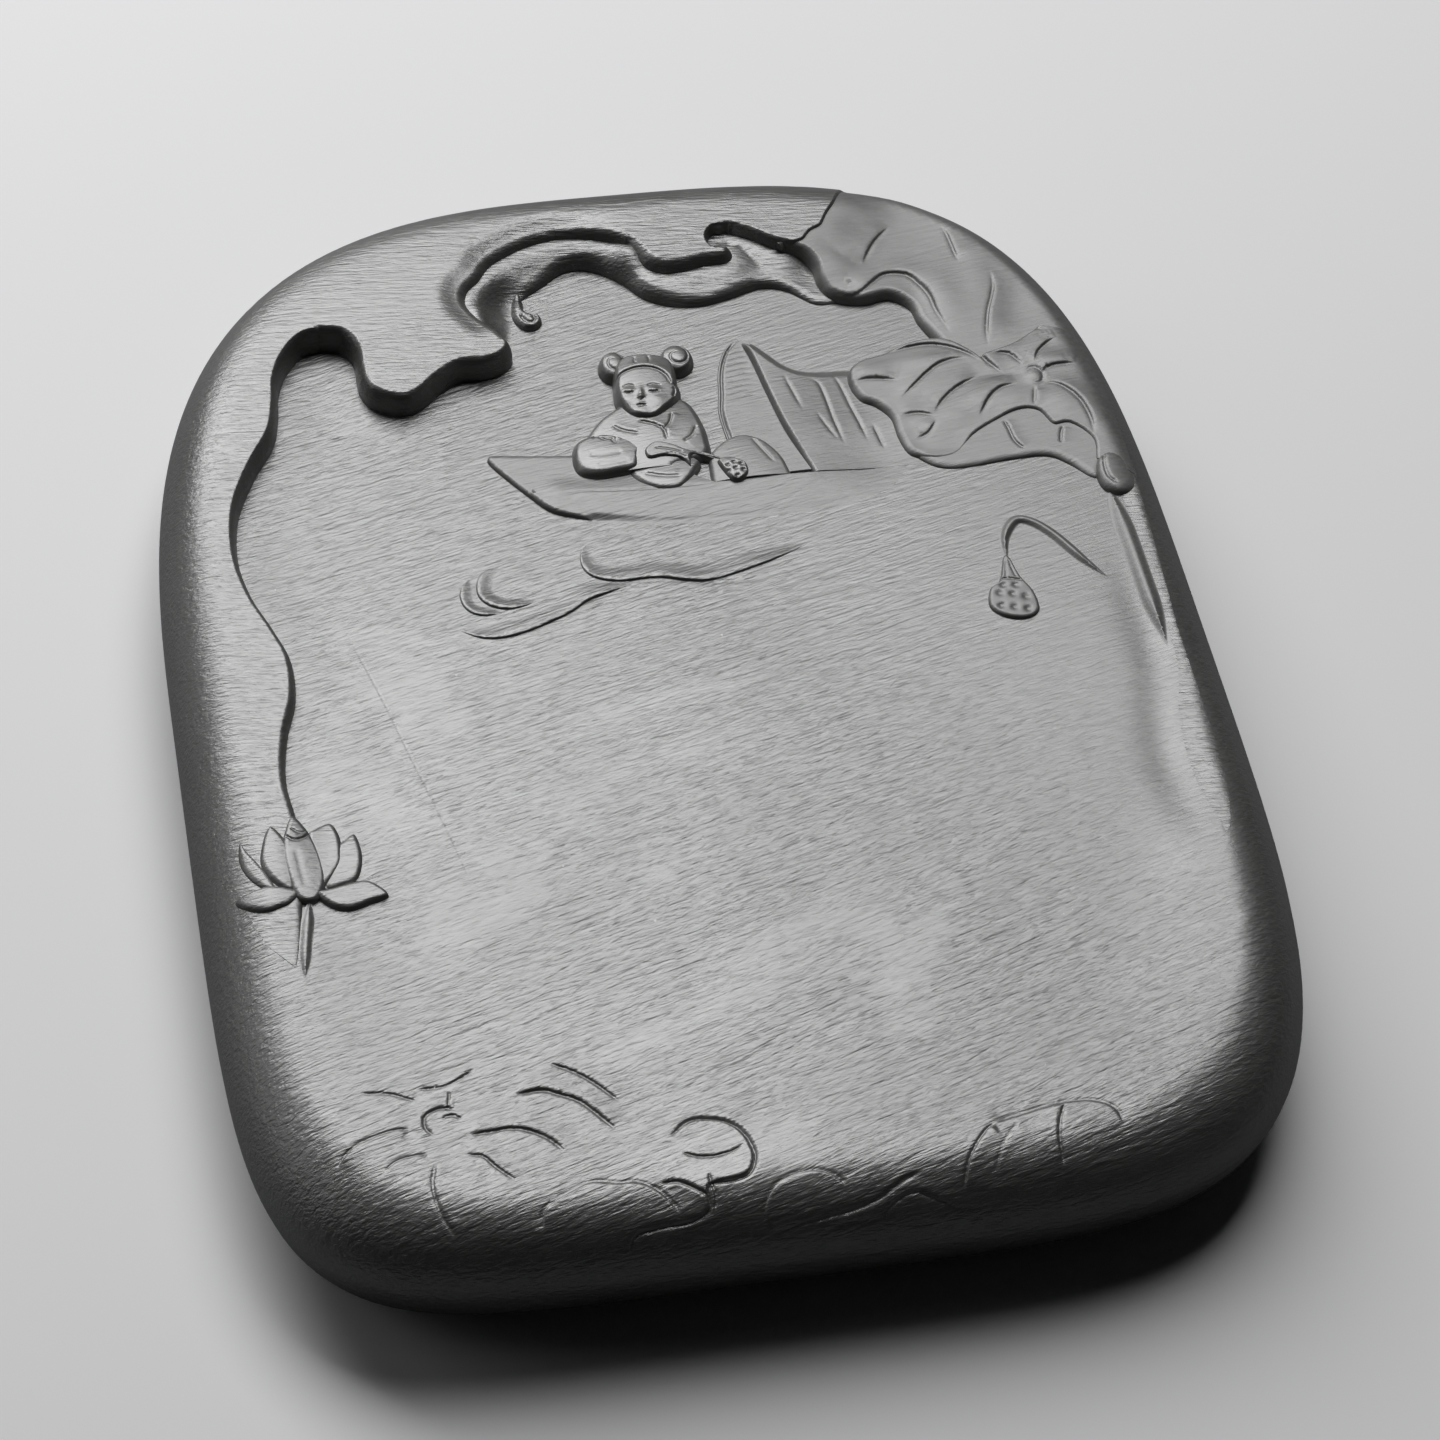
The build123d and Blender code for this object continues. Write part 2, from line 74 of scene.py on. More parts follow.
# Leaf tops lean up toward the right edge
leaf_drop = 1.4
leaf_lean = 1.9
rear_leaf_drop = 0.5
flap_drop = 0.35
leaf_edge_blend = 0.5

# How far a point seen by the camera moves for each millimetre of depth
view_across = 0.21
view_along = 0.80

turns = 420
steps = 1.0

# Least distances between the points of a mesh, and from its edge
least_spacing = 0.11
body_spacing = 0.12
edge_clearance = 0.045
body_edge_clearance = 0.3


# Small helpers on arrays of points

def shares(numbers):
    """Points as shares of the half width and half length, from x and y in thousandths of them."""
    if isinstance(numbers, np.ndarray):
        return numbers
    return np.array(numbers, dtype=float) / 1000


def mm(numbers):
    """Points in millimetres, from shares or thousandths of the half width and half length."""
    return shares(numbers).reshape(-1, 2) * (half_width, half_length)


def turned(tilt):
    """A matrix that turns points by a tilt."""
    return np.array([[cos(tilt), sin(tilt)], [-sin(tilt), cos(tilt)]])


def smooth(values):
    values = np.clip(values, 0, 1)
    return values * values * (3 - 2 * values)


def smooth_max(first, second, blend):
    spread = np.clip(0.5 + 0.5 * (first - second) / blend, 0, 1)
    return second + (first - second) * spread + blend * spread * (1 - spread)


def smooth_min(first, second, blend):
    return -smooth_max(-first, -second, blend)


def even(points, step):
    """Points an even step apart along a run of points."""
    lengths = np.hypot(*np.diff(points, axis=0).T)
    travel = np.concatenate([[0], np.cumsum(lengths)])
    count = max(2, int(round(travel[-1] / step)) + 1)
    spots = np.linspace(0, travel[-1], count)
    return np.stack([np.interp(spots, travel, points[:, axis]) for axis in (0, 1)], axis=1)


def curve(points, step, closed=False):
    """A smooth curve through points, as even points."""
    points = np.asarray(points, dtype=float)
    if len(points) == 2:
        return even(points, step)
    if closed:
        padded = np.concatenate([points[-1:], points, points[:2]])
    else:
        before = 2 * points[:1] - points[1:2]
        after = 2 * points[-1:] - points[-2:-1]
        padded = np.concatenate([before, points, after])
    runs = []
    parts = np.linspace(0, 1, 17)[:-1, None]
    for before, start, end, after in zip(padded, padded[1:], padded[2:], padded[3:]):
        bend = 2 * before - 5 * start + 4 * end - after
        twist = 3 * (start - end) + after - before
        runs.append(0.5 * (2 * start + (end - before) * parts + bend * parts**2 + twist * parts**3))
    runs.append(padded[-2:-1])
    return even(np.concatenate(runs), step)


def leftward(line):
    """The direction to the left at every point of a line."""
    along = np.gradient(line, axis=0)
    along = along / np.maximum(np.hypot(along[:, 0], along[:, 1]), 1e-9)[:, None]
    return np.stack([-along[:, 1], along[:, 0]], axis=1)


def nearest(points, line, closed=False):
    """Distance to a line of points, side and place along it, for every point."""
    starts = line if closed else line[:-1]
    ends = np.roll(line, -1, axis=0) if closed else line[1:]
    runs = ends - starts
    squares = np.maximum((runs**2).sum(axis=1), 1e-9)
    distance = np.full(len(points), 1e9)
    side = np.zeros(len(points))
    place = np.zeros(len(points))
    for first in range(0, len(points), 2000):
        chunk = points[first:first + 2000]
        offset = chunk[:, None, :] - starts[None]
        share = np.clip((offset * runs[None]).sum(axis=2) / squares, 0, 1)
        gap = offset - share[..., None] * runs[None]
        far = np.hypot(gap[..., 0], gap[..., 1])
        best = far.argmin(axis=1)
        rows = np.arange(len(chunk))
        cross = runs[best, 0] * offset[rows, best, 1] - runs[best, 1] * offset[rows, best, 0]
        distance[first:first + 2000] = far[rows, best]
        side[first:first + 2000] = np.where(cross < 0, -1, 1)
        place[first:first + 2000] = (best + share[rows, best]) / len(starts)
    return distance, side, place


def inside(points, loop):
    """Which points lie inside a closed loop."""
    result = np.zeros(len(points), dtype=bool)
    ends = np.roll(loop, -1, axis=0)
    for (ax, ay), (bx, by) in zip(loop.tolist(), ends.tolist()):
        if ay == by:
            continue
        crossing = (points[:, 1] > min(ay, by)) & (points[:, 1] <= max(ay, by))
        at = ax + (points[:, 1] - ay) * (bx - ax) / (by - ay)
        result ^= crossing & (points[:, 0] < at)
    return result


# The rounded block

def corner_power(x, y):
    head = np.where(x >= 0, head_right_power, head_left_power)
    foot = np.where(x >= 0, foot_right_power, foot_left_power)
    return np.where(y >= 0, head, foot)


def block_inset(points):
    """How far in from the girth's outline each point lies."""
    x = points[:, 0]
    y = points[:, 1]
    power = corner_power(x, y)
    inset = np.zeros(len(points))
    for _ in range(8):
        wide = half_width - inset
        long = half_length - inset
        across = np.abs(x / wide)**power
        along = np.abs(y / long)**power
        reach = np.maximum(across + along, 1e-9)**(1 / power)
        slope = (across / wide + along / long) * reach**(1 - power)
        inset = np.clip(inset + (1 - reach) / np.maximum(slope, 1e-6), -30, 75)
    return inset


def block_top(points):
    bend = np.clip(1 - block_inset(points) / top_round, 0, 1)
    return girth_height + (rim_height - girth_height) * np.sqrt(np.clip(1 - bend**2, 0, 1))


def ring_points(inset, level):
    """The block's outline at an inset and a level that may change from turn to turn."""
    turn = np.linspace(0, 2 * pi, turns, endpoint=False)
    power = corner_power(np.cos(turn), np.sin(turn))
    reach = (np.abs(np.cos(turn))**power + np.abs(np.sin(turn))**power)**(-1 / power)
    across = (half_width - inset) * reach * np.cos(turn)
    along = (half_length - inset) * reach * np.sin(turn)
    return np.stack([across, along, level + 0 * across], axis=1)


def block_ring(tilt):
    """Points of the block's upper side, from a tilt of 0 at the girth to a quarter turn on top."""
    inset = top_round * (1 - np.cos(tilt))
    return ring_points(inset, girth_height + (rim_height - girth_height) * np.sin(tilt))


def pool_depth(points):
    x = points[:, 0] / half_width
    y = points[:, 1] / half_length
    depth = pool_depth_middle - pool_rise_to_right * x + pool_fall_to_head * y
    return smooth_max(depth, hall_sink + 0 * x, hall_blend)


def foot_share(points):
    """0 where rims stand at the edge, 1 round the foot where the block has no rim."""
    return smooth((rims_end - points[:, 1] / half_length) / rims_end_blend)


def ground(points):
    """The ground of the pool and the hall."""
    edge = smooth((block_inset(points) - shoulder_start) / shoulder_width)
    keep = 1 - foot_share(points) * (1 - edge)
    return np.minimum(block_top(points), rim_height - pool_depth(points) * keep)


def leaf_top(points, drop):
    x = points[:, 0] / half_width
    level = rim_height - leaf_drop - leaf_lean / 2 - drop + leaf_lean * x
    return smooth_min(block_top(points), level, leaf_edge_blend)


def seam_tilt():
    """The tilt at every turn where the pool's ground would leave the block's side."""
    low = np.zeros(turns)
    high = np.full(turns, pi / 2)
    for _ in range(30):
        middle = (low + high) / 2
        spots = block_ring(middle)
        keep = 1 - foot_share(spots)
        above = spots[:, 2] > rim_height - pool_depth(spots[:, :2]) * keep
        high = np.where(above, middle, high)
        low = np.where(above, low, middle)
    past_rims = smooth((seam_change - block_ring(low)[:, 1] / half_length) / seam_blend)
    return low + (foot_seam_tilt - low) * past_rims


tilts = seam_tilt()
seam = block_ring(tilts)


def seam_at(degrees):
    return seam[int(round(degrees / 360 * turns)) % turns, :2]


def seam_part(start, end):
    first = int(round(start / 360 * turns))
    last = int(round(end / 360 * turns))
    return seam[[step % turns for step in range(first, last + 1)], :2]


def seen(numbers, depth):
    """Points read at the rim's level, moved along the view to a depth below it."""
    moved = (view_across * depth / half_width, view_along * depth / half_length)
    return shares(numbers).reshape(-1, 2) + moved


# Plans: stretches that follow each other round a loop

def free(numbers, run):
    """A stretch that ends in an open wall: rounded, or soft where its run is below zero."""
    return "curve", numbers, run


def flush(*numbers):
    """A stretch that meets a neighbour."""
    return "curve", numbers, 0


def corners(*numbers):
    """Straight stretches from point to point."""
    return [flush(*pair) for pair in zip(numbers[::2], numbers[1::2])]


def to_seam(degrees, run=0):
    return "seam", (degrees, degrees), run


def along_seam(start, end):
    return "seam", (start, end), 0


def turned_left(loop, walls):
    """The loop and its walls, with the stone on their left."""
    ends = np.roll(loop, -1, axis=0)
    area = (loop[:, 0] * ends[:, 1] - loop[:, 1] * ends[:, 0]).sum()
    if area < 0:
        return loop[::-1].copy(), [(points[::-1].copy(), run) for points, run in walls]
    return loop, walls


def plan(start, *stretches, step=0.4):
    first = mm(start)[0]
    last = first
    parts = []
    walls = []
    for kind, numbers, run in stretches:
        if kind == "seam" and numbers[0] == numbers[1]:
            points = even(np.array([last, seam_at(numbers[0])]), step)
        elif kind == "seam":
            points = seam_part(*numbers)
        else:
            points = curve(np.concatenate([[last], mm(numbers)]), step * steps)
        parts.append(points[:-1])
        if run:
            walls.append((points, run))
        last = points[-1]
    if np.hypot(*(last - first)) > 0.02:
        parts.append(even(np.array([last, first]), step)[:-1])
    return turned_left(np.concatenate(parts), walls)


def walled(loop, run):
    """A loop with one wall all round it."""
    return loop, [(np.concatenate([loop, loop[:1]]), run)]


def round_plan(numbers, run, step=0.35):
    loop = curve(mm(numbers), step * steps, closed=True)[:-1]
    return turned_left(*walled(loop, run))


def oval_plan(centre, across, along, run, tilt=0.0, step=0.35):
    count = max(16, int(2 * pi * max(across, along) / step / steps))
    turn = np.linspace(0, 2 * pi, count, endpoint=False)
    spots = np.stack([across * np.cos(turn), along * np.sin(turn)], axis=1)
    return walled(centre + spots @ turned(tilt), run)


def band_plan(numbers, half_breadth, step=0.3, crisp=0.0):
    """A soft band along a curve, tapering at both ends, maybe with a crisp wall on its right."""
    line = curve(mm(numbers), step * steps)
    share = np.linspace(0, 1, len(line))
    taper = np.sqrt(smooth(share / 0.3) * smooth((1 - share) / 0.3))
    left = leftward(line) * (half_breadth * taper + 0.04)[:, None]
    loop = np.concatenate([line + left, (line - left)[::-1]])
    if crisp:
        return turned_left(loop, [(line + left, -1.9 * half_breadth), ((line - left)[::-1], crisp)])
    return turned_left(*walled(loop, -half_breadth))


# Meshes

def vertex_normals(vertices, faces):
    triangles = np.array(faces)
    corners = vertices[triangles]
    facing = np.cross(corners[:, 1] - corners[:, 0], corners[:, 2] - corners[:, 0])
    total = np.zeros_like(vertices)
    for corner in range(3):
        np.add.at(total, triangles[:, corner], facing)
    return total / np.maximum(np.linalg.norm(total, axis=1, keepdims=True), 1e-12)


def field_normals(level, points, step=0.04):
    """Normals of a height field from its slopes."""
    slope_x = (level(points + (step, 0)) - level(points - (step, 0))) / (2 * step)
    slope_y = (level(points + (0, step)) - level(points - (0, step))) / (2 * step)
    normals = np.stack([-slope_x, -slope_y, np.ones(len(points))], axis=1)
    return normals / np.linalg.norm(normals, axis=1, keepdims=True)


def thin_out(points, spacing):
    """Drop points that crowd earlier ones."""
    cells = {}
    kept = []
    for index, (x, y) in enumerate(points.tolist()):
        column = int(x // spacing)
        row = int(y // spacing)
        crowd = False
        for near in [(column + right, row + up) for right in (-1, 0, 1) for up in (-1, 0, 1)]:
            other = cells.get(near)
            if other and (other[0] - x)**2 + (other[1] - y)**2 < spacing * spacing:
                crowd = True
                break
        if not crowd:
            cells[(column, row)] = (x, y)
            kept.append(index)
    return points[kept]


def grid(loop, spacing):
    """An even spread of points inside a loop, every other row set off."""
    low = loop.min(axis=0)
    high = loop.max(axis=0)
    rows = [np.zeros((0, 2))]
    count = int((high[1] - low[1]) / (0.87 * spacing))
    for row in range(count):
        across = np.arange(low[0] + (row % 2) * spacing / 2, high[0], spacing)
        rows.append(np.stack([across, 0 * across + low[1] + (row + 0.5) * 0.87 * spacing], axis=1))
    points = np.concatenate(rows)
    return points[inside(points, loop)]


def beside(line, offsets):
    """Rows of points beside a line, at signed offsets to its left."""
    left = leftward(line)
    return [line + left * offset for offset in offsets]


def left_turning(points, triangles):
    """The triangles, all with their corners the same way round."""
    corners = points[np.array(triangles)]
    first = corners[:, 1] - corners[:, 0]
    second = corners[:, 2] - corners[:, 0]
    turned = first[:, 0] * second[:, 1] - first[:, 1] * second[:, 0] < 0
    return [tuple(face[::-1]) if flip else tuple(face) for face, flip in zip(triangles, turned)]


def triangulate(loop, inner=np.zeros((0, 2)), inlays=(), snap=1e-6):
    """Points and triangles that fill a loop, with inner points and inlays' edges, and origins."""
    spots = [Vector(point) for point in np.concatenate([loop, *inlays, inner]).tolist()]
    border = []
    start = 0
    for ring in (loop, *inlays):
        border += [(start + index, start + (index + 1) % len(ring)) for index in range(len(ring))]
        start += len(ring)
    whole = [list(range(len(loop)))]
    found, _, triangles, origins, _, _ = delaunay_2d_cdt(spots, border, whole, 1, snap)
    points = np.array([tuple(spot) for spot in found])
    return points, left_turning(points, triangles), origins


def open_edges(faces):
    """The edges that have a face on one side only."""
    pairs = {}
    for face in faces:
        for start, end in zip(face, face[1:] + face[:1]):
            pairs[(start, end)] = True
    return [pair for pair in pairs if (pair[1], pair[0]) not in pairs]


def rings_of(edges):
    """The closed rings that the open edges form."""
    following = dict(edges)
    rings = []
    while following:
        start, vertex = following.popitem()
        ring = [start]
        while vertex != start:
            ring.append(vertex)
            vertex = following.pop(vertex)
        rings.append(ring)
    return rings


def close_below(vertices, ring):
    """Triangles that close the underside of a piece, facing down."""
    _, faces, origins = triangulate(vertices[ring][:, :2], snap=1e-7)
    return [tuple(ring[origins[vertex][0]] for vertex in face[::-1]) for face in faces]


def add_object(name, data):
    added = bpy.data.objects.new(name, data)
    bpy.context.scene.collection.objects.link(added)
    return added


def add_piece(name, vertices, faces, shaded, normals, slot, nodes):
    """A mesh object whose shaded faces take the given vertex normals and whose others are flat."""
    mesh = bpy.data.meshes.new(name)
    mesh.from_pydata((vertices * MM).tolist(), [], faces)
    mesh.polygons.foreach_set("use_smooth", [True] * len(mesh.polygons))
    mesh.update()
    loops = np.zeros(len(mesh.loops), dtype=np.int32)
    mesh.loops.foreach_get("vertex_index", loops)
    flat = np.zeros(len(mesh.polygons) * 3, dtype=np.float32)
    mesh.polygons.foreach_get("normal", flat)
    counts = np.array([len(face) for face in faces])
    owner = np.repeat(np.arange(len(faces)), counts)
    loop_normals = flat.reshape(-1, 3)[owner].astype(float)
    used = shaded[owner]
    loop_normals[used] = normals[loops[used]]
    mesh.normals_split_custom_set(loop_normals.tolist())
    piece = add_object(name, mesh)
    mesh.materials.append(materials[slot])
    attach(piece, "root")
    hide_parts(*nodes)
    return piece


class Crease:
    """A cut line along a curve, with the stone swelling up on its left side."""

    def __init__(self, numbers, depth=0.35, width=0.25, lift=0.0, spread=1.5, fade=0.15, step=0.4):
        self.line = curve(mm(numbers), step * steps)
        self.depth = depth
        self.width = width
        self.lift = lift
        self.spread = spread
        self.fade = fade

    def rows(self):
        rows = beside(self.line, [share * self.width for share in (0, 0.7, -0.7, 1.5, -1.5, 3, -3)])
        if self.lift:
            rows += beside(self.line, [self.spread * 0.7, self.spread * 1.4])
        return rows

    def change(self, points):
        result = np.zeros(len(points))
        margin = 3 * max(self.width, self.spread if self.lift else 0)
        low = self.line.min(axis=0) - margin
        high = self.line.max(axis=0) + margin
        near = ((points > low) & (points < high)).all(axis=1)
        if not near.any():
            return result
        distance, side, place = nearest(points[near], self.line)
        ends = smooth(place / self.fade) * smooth((1 - place) / self.fade)
        change = -self.depth * np.exp(-(distance / self.width)**2)
        rise = smooth(distance / (1.5 * self.width)) * np.exp(-(distance / self.spread)**2)
        result[near] = ends * (change + np.where(side > 0, self.lift * rise, 0))
        return result


# How much softer a vein is than a crease of the same numbers
vein_depth = 0.7
vein_width = 1.3
vein_lift = 1.8
vein_spread = 1.6
vein_fade = 0.35


def vein(numbers, below, depth, lift, spread, width=0.25):
    """A shallow soft line on a leaf, read at the rim's level, with a swell beside it."""
    return Crease(seen(numbers, below), depth * vein_depth, width * vein_width,
                  lift * vein_lift, spread * vein_spread, vein_fade)


class Swell:
    """A soft round swelling, or a hollow where its rise is below zero."""

    def __init__(self, middle, across, along, rise, tilt=0.0):
        self.centre = mm(middle)[0]
        self.across = across
        self.along = along
        self.rise = rise
        self.frame = turned(tilt)

    def rows(self):
        turn = np.linspace(0, 2 * pi, 10, endpoint=False)
        oval = np.stack([self.across * np.cos(turn), self.along * np.sin(turn)], axis=1)
        rows = [np.array([self.centre])]
        for share in (0.35, 0.7, 1.1, 1.6):
            rows.append(self.centre + share * oval @ self.frame)
        return rows

    def change(self, points):
        local = (points - self.centre) @ self.frame.T / (self.across, self.along)
        return self.rise * np.exp(-(local**2).sum(axis=1))


def dome(points, middle, across, along, tilt=0.0):
    """1 in the middle of an oval, falling round to 0 at its edge."""
    local = (points - mm(middle)[0]) @ turned(tilt).T / (across, along)
    return np.sqrt(np.clip(1 - (local**2).sum(axis=1), 0, 1))


def raised(rise):
    """A top that follows the ground at a height above it."""
    return lambda spots: ground(spots) + rise


def domed(rise, middle, across, along, tilt=0.0, power=1.0, base=0.0):
    """A top that swells from the ground as a dome, or from a base above it."""
    def level(spots):
        return ground(spots) + base + rise * dome(spots, middle, across, along, tilt)**power
    return level


def carved(name, slot, shape, top, node, spacing=1.2, marks=(), sunk=0.5, under=ground,
           rows_of=()):
    """A carved piece: its top stands on the ground inside a plan and rounds down to its walls."""
    loop, walls = shape
    rows = [np.zeros((0, 2))]
    for wall, run in walls:
        rows += beside(wall, [share * abs(run) for share in (0.05, 0.15, 0.3, 0.5, 0.75, 1.05)])
    for mark in (*marks, *rows_of):
        rows += mark.rows()
    inner = np.concatenate(rows + [grid(loop, spacing * steps)])
    inner = inner[inside(inner, loop)]
    gap = nearest(inner, loop, closed=True)[0]
    inner = thin_out(inner[gap > edge_clearance], least_spacing * steps)
    points, faces, _ = triangulate(loop, inner)

    def level(spots):
        below = under(spots)
        rise = np.maximum(top(spots) - below, 0)
        for wall, run in walls:
            distance, side, _ = nearest(spots, wall)
            share = np.clip(distance / abs(run), 0, 1)
            share = np.where((side < 0) & (distance < 0.1), 0, share)
            rise = rise * (smooth(share) if run < 0 else np.sqrt(1 - (1 - share)**2))
        result = below + rise
        for mark in marks:
            result = result + mark.change(spots)
        return result

    levels = level(points)
    normals = field_normals(level, points)
    border = open_edges(faces)
    low_ones = sorted({vertex for pair in border for vertex in pair})
    lower = {vertex: len(points) + index for index, vertex in enumerate(low_ones)}
    low_levels = np.minimum(under(points[low_ones]), levels[low_ones]) - sunk
    vertices = np.concatenate([
        np.column_stack([points, levels]), np.column_stack([points[low_ones], low_levels])])
    all_faces = list(faces)
    for start, end in border:
        all_faces.append((end, start, lower[start], lower[end]))
    for ring in rings_of(border):
        all_faces += close_below(vertices, [lower[vertex] for vertex in ring])
    shaded = np.zeros(len(all_faces), dtype=bool)
    shaded[:len(faces)] = True
    return add_piece(name, vertices, all_faces, shaded, normals, slot, [node])


# Slate

def add_material(name):
    """A new material with its node tree and its shader."""
    material = bpy.data.materials.new(name)
    material.use_nodes = True
    tree = material.node_tree
    return material, tree, tree.nodes["Principled BSDF"]


def add_node(tree, kind, output, values, **settings):
    """One output of a new shader node, whose sockets take the given values or links."""
    node = tree.nodes.new("ShaderNode" + kind)
    for setting, value in settings.items():
        setattr(node, setting, value)
    for socket, value in values.items():
        if isinstance(value, bpy.types.NodeSocket):
            tree.links.new(value, node.inputs[socket])
        else:
            node.inputs[socket].default_value = value
    return node.outputs[output]


def mixed(tree, share, first, second):
    values = {"Factor": share, "A": first, "B": second}
    return add_node(tree, "Mix", "Result", values, data_type="RGBA")


def for_camera(tree, lit, pictured):
    """A colour for the light, and another one for the camera's own rays."""
    return mixed(tree, add_node(tree, "LightPath", "Is Camera Ray", {}), lit, pictured)


def slate(name, colour, roughness, grain, angle, fine=1.0, calm=1.0):
    """Dark slate with silky wavy grain, calmer at the right, pale specks and uneven polish."""
    material, tree, shader = add_material(name)
    shader.inputs["IOR"].default_value = slate_refraction
    place = tree.nodes.new("ShaderNodeTexCoord").outputs["Object"]

    def mapped(turn, scale):
        values = {"Vector": place, "Rotation": (0, 0, radians(turn)),
                  "Scale": [1 / value for value in scale]}
        return add_node(tree, "Mapping", "Vector", values, vector_type="TEXTURE")

    def noise(vector, scale, detail, rough, distortion=0.0):
        return add_node(tree, "TexNoise", "Fac", {
            "Vector": vector, "Scale": scale, "Detail": detail, "Roughness": rough,
            "Distortion": distortion})

    def ramp(value, low, high, low_value=0.0, high_value=1.0):
        return add_node(tree, "MapRange", "Result", {
            "Value": value, "From Min": low, "From Max": high, "To Min": low_value,
            "To Max": high_value})

    def maths(kind, first, second):
        return add_node(tree, "Math", "Value", {0: first, 1: second}, operation=kind)

    def total(*parts):
        terms = [maths("MULTIPLY", value, weight) for value, weight in parts]
        result = terms[0]
        for term in terms[1:]:
            result = maths("ADD", result, term)
        return result

    silk = noise(mapped(angle, (0.13, 1, 1)), 1900 * fine, 3, 0.55, 0.4)
    waves = noise(mapped(angle + 5, (0.15, 1, 1)), 950 * fine, 2, 0.5, 0.8)
    streaks = noise(mapped(angle - 3, (0.06, 1, 1)), 4200 * fine, 2, 0.6)
    cloudy = noise(mapped(0, (1, 1, 1)), 26, 4, 0.55, 0.4)
    patches = noise(mapped(30, (0.6, 1, 1)), 34, 3, 0.5, 0.8)
    pits = noise(mapped(0, (1, 1, 1)), 2600, 2, 0.5)
    speck = noise(mapped(20, (1, 1, 1)), 1150, 1, 0.4)

    split = tree.nodes.new("ShaderNodeSeparateXYZ")
    tree.links.new(place, split.inputs["Vector"])
    rightward = total((split.outputs["X"], 1), (split.outputs["Y"], 0.35))
    strength = maths("MULTIPLY", ramp(patches, 0.34, 0.42, grain * 0.62, grain),
                     ramp(rightward, 0.012, 0.055, 1, calm))
    relief = total((silk, 0.55), (waves, 0.6), (streaks, 0.12), (pits, 0.06))
    tone = ramp(total((silk, 0.7), (cloudy, 0.5)), 0.4, 0.8)
    darker = (*[value * 0.78 for value in colour], 1)
    lighter = (*[value * 1.25 for value in colour], 1)
    specks = ramp(speck, 0.81, 0.86, 0.0, 0.4)
    sheen = total((silk, 0.5), (cloudy, 0.5))
    looks = {
        "Normal": add_node(tree, "Bump", "Normal", {
            "Distance": grain_height, "Strength": strength, "Height": relief}),
        "Base Color": mixed(tree, specks, mixed(tree, tone, darker, lighter), speck_colour),
        "Roughness": ramp(sheen, 0.3, 0.7, roughness - 0.05, roughness + 0.06)}
    for socket, look in looks.items():
        tree.links.new(look, shader.inputs[socket])
    return material


# A high index of refraction gives the silky sheen of ground slate
slate_refraction = 2.45
grain_height = 0.0004
speck_colour = (0.80, 0.78, 0.72, 1)
stone = (0.088, 0.0896, 0.0852)
paler_stone = (0.096, 0.0976, 0.0932)
materials = {
    "field_stone": slate("field_slate", stone, 0.37, 0.75, 15, calm=0.4),
    "rim_stone": slate("rim_slate", stone, 0.37, 0.55, -6),
    "leaf_stone": slate("leaf_slate", paler_stone, 0.50, 0.22, 8),
    "flower_stone": slate("flower_slate", stone, 0.38, 0.35, 2, 1.3),
    "figure_stone": slate("figure_slate", stone, 0.36, 0.22, 6, 1.6),
    "boat_stone": slate("boat_slate", paler_stone, 0.44, 0.32, 8, 1.2),
    "ripple_stone": slate("ripple_slate", stone, 0.37, 0.60, 15),
}


# Edges of the carving: x and y in thousandths of the half width and half length

wall_edge = [-828, -440, -812, -360, -803, -260, -812, -170, -798, -90, -772, -20, -768, 50,
    -790, 110, -822, 180, -838, 260, -826, 350, -785, 430, -735, 500, -717, 560, -708, 610,
    -685, 655, -648, 690, -610, 698]
tongue_edge = [-572, 690, -552, 660, -551, 620, -549, 590, -530, 560, -475, 538, -430, 550,
    -390, 578, -345, 600, -295, 600, -252, 612, -232, 634, -238, 660]
tongue_back = [-262, 692, -286, 720, -298, 745, -290, 768, -264, 789, -239, 817, -205, 836,
    -152, 856, -93, 866]
head_rim_edge = [-43, 862, 7, 850, 42, 832]
ribbon_edge = [-221, 697, -215, 722, -209, 750, -183, 772, -138, 797, -93, 822, -53, 827,
    -11, 812, 27, 784, 62, 747, 112, 724, 177, 716, 242, 727, 307, 742, 357, 730, 407, 694,
    450, 690]
scroll_edge = [52, 817, 70, 789, 105, 771, 150, 770, 195, 777, 245, 780, 264, 797, 258, 815,
    240, 819]
scroll_curl = [222, 813, 216, 831, 232, 850, 262, 850]
scroll_back = [300, 832, 335, 812, 370, 797]
rear_leaf_side = [395, 797, 415, 803, 434, 820, 460, 832, 480, 858, 500, 880]
rear_leaf_edge = [400, 786, 418, 762, 421, 728, 437, 700, 475, 684, 515, 680, 560, 685,
    595, 660, 605, 620, 640, 550]
front_leaf_top = [652, 567, 604, 575, 554, 568, 504, 553, 459, 545, 429, 524, 422, 490]
front_leaf_left = [437, 461, 464, 445, 486, 417, 490, 377, 501, 344, 519, 330]
fold_edge = [559, 321, 604, 328, 644, 360, 689, 381, 744, 399, 782, 394, 804, 362, 839, 360,
    872, 325, 866, 285]
fold_under = [559, 335, 604, 342, 644, 374, 689, 395, 744, 413, 790, 406, 810, 376, 845, 373,
    885, 330, 882, 275]
flap_edge = [862, 250, 844, 254, 812, 284, 774, 305, 704, 306, 604, 300, 554, 307, 519, 330]
bow_edge = [-324, 418, -294, 378, -259, 338, -219, 300, -144, 274]
keel_edge = [4, 251, 184, 245, 344, 253, 444, 275, 494, 318]
mat_edge = [155, 394, 151, 470, 161, 515, 171, 560, 186, 595, 206, 620, 228, 630]
awning_front = [272, 415, 256, 495, 242, 580, 228, 630]
awning_roof = [256, 620, 281, 595, 311, 563, 351, 545, 436, 539]


# Leaves drawn into the foot: cut lines with the stone swelling on one side

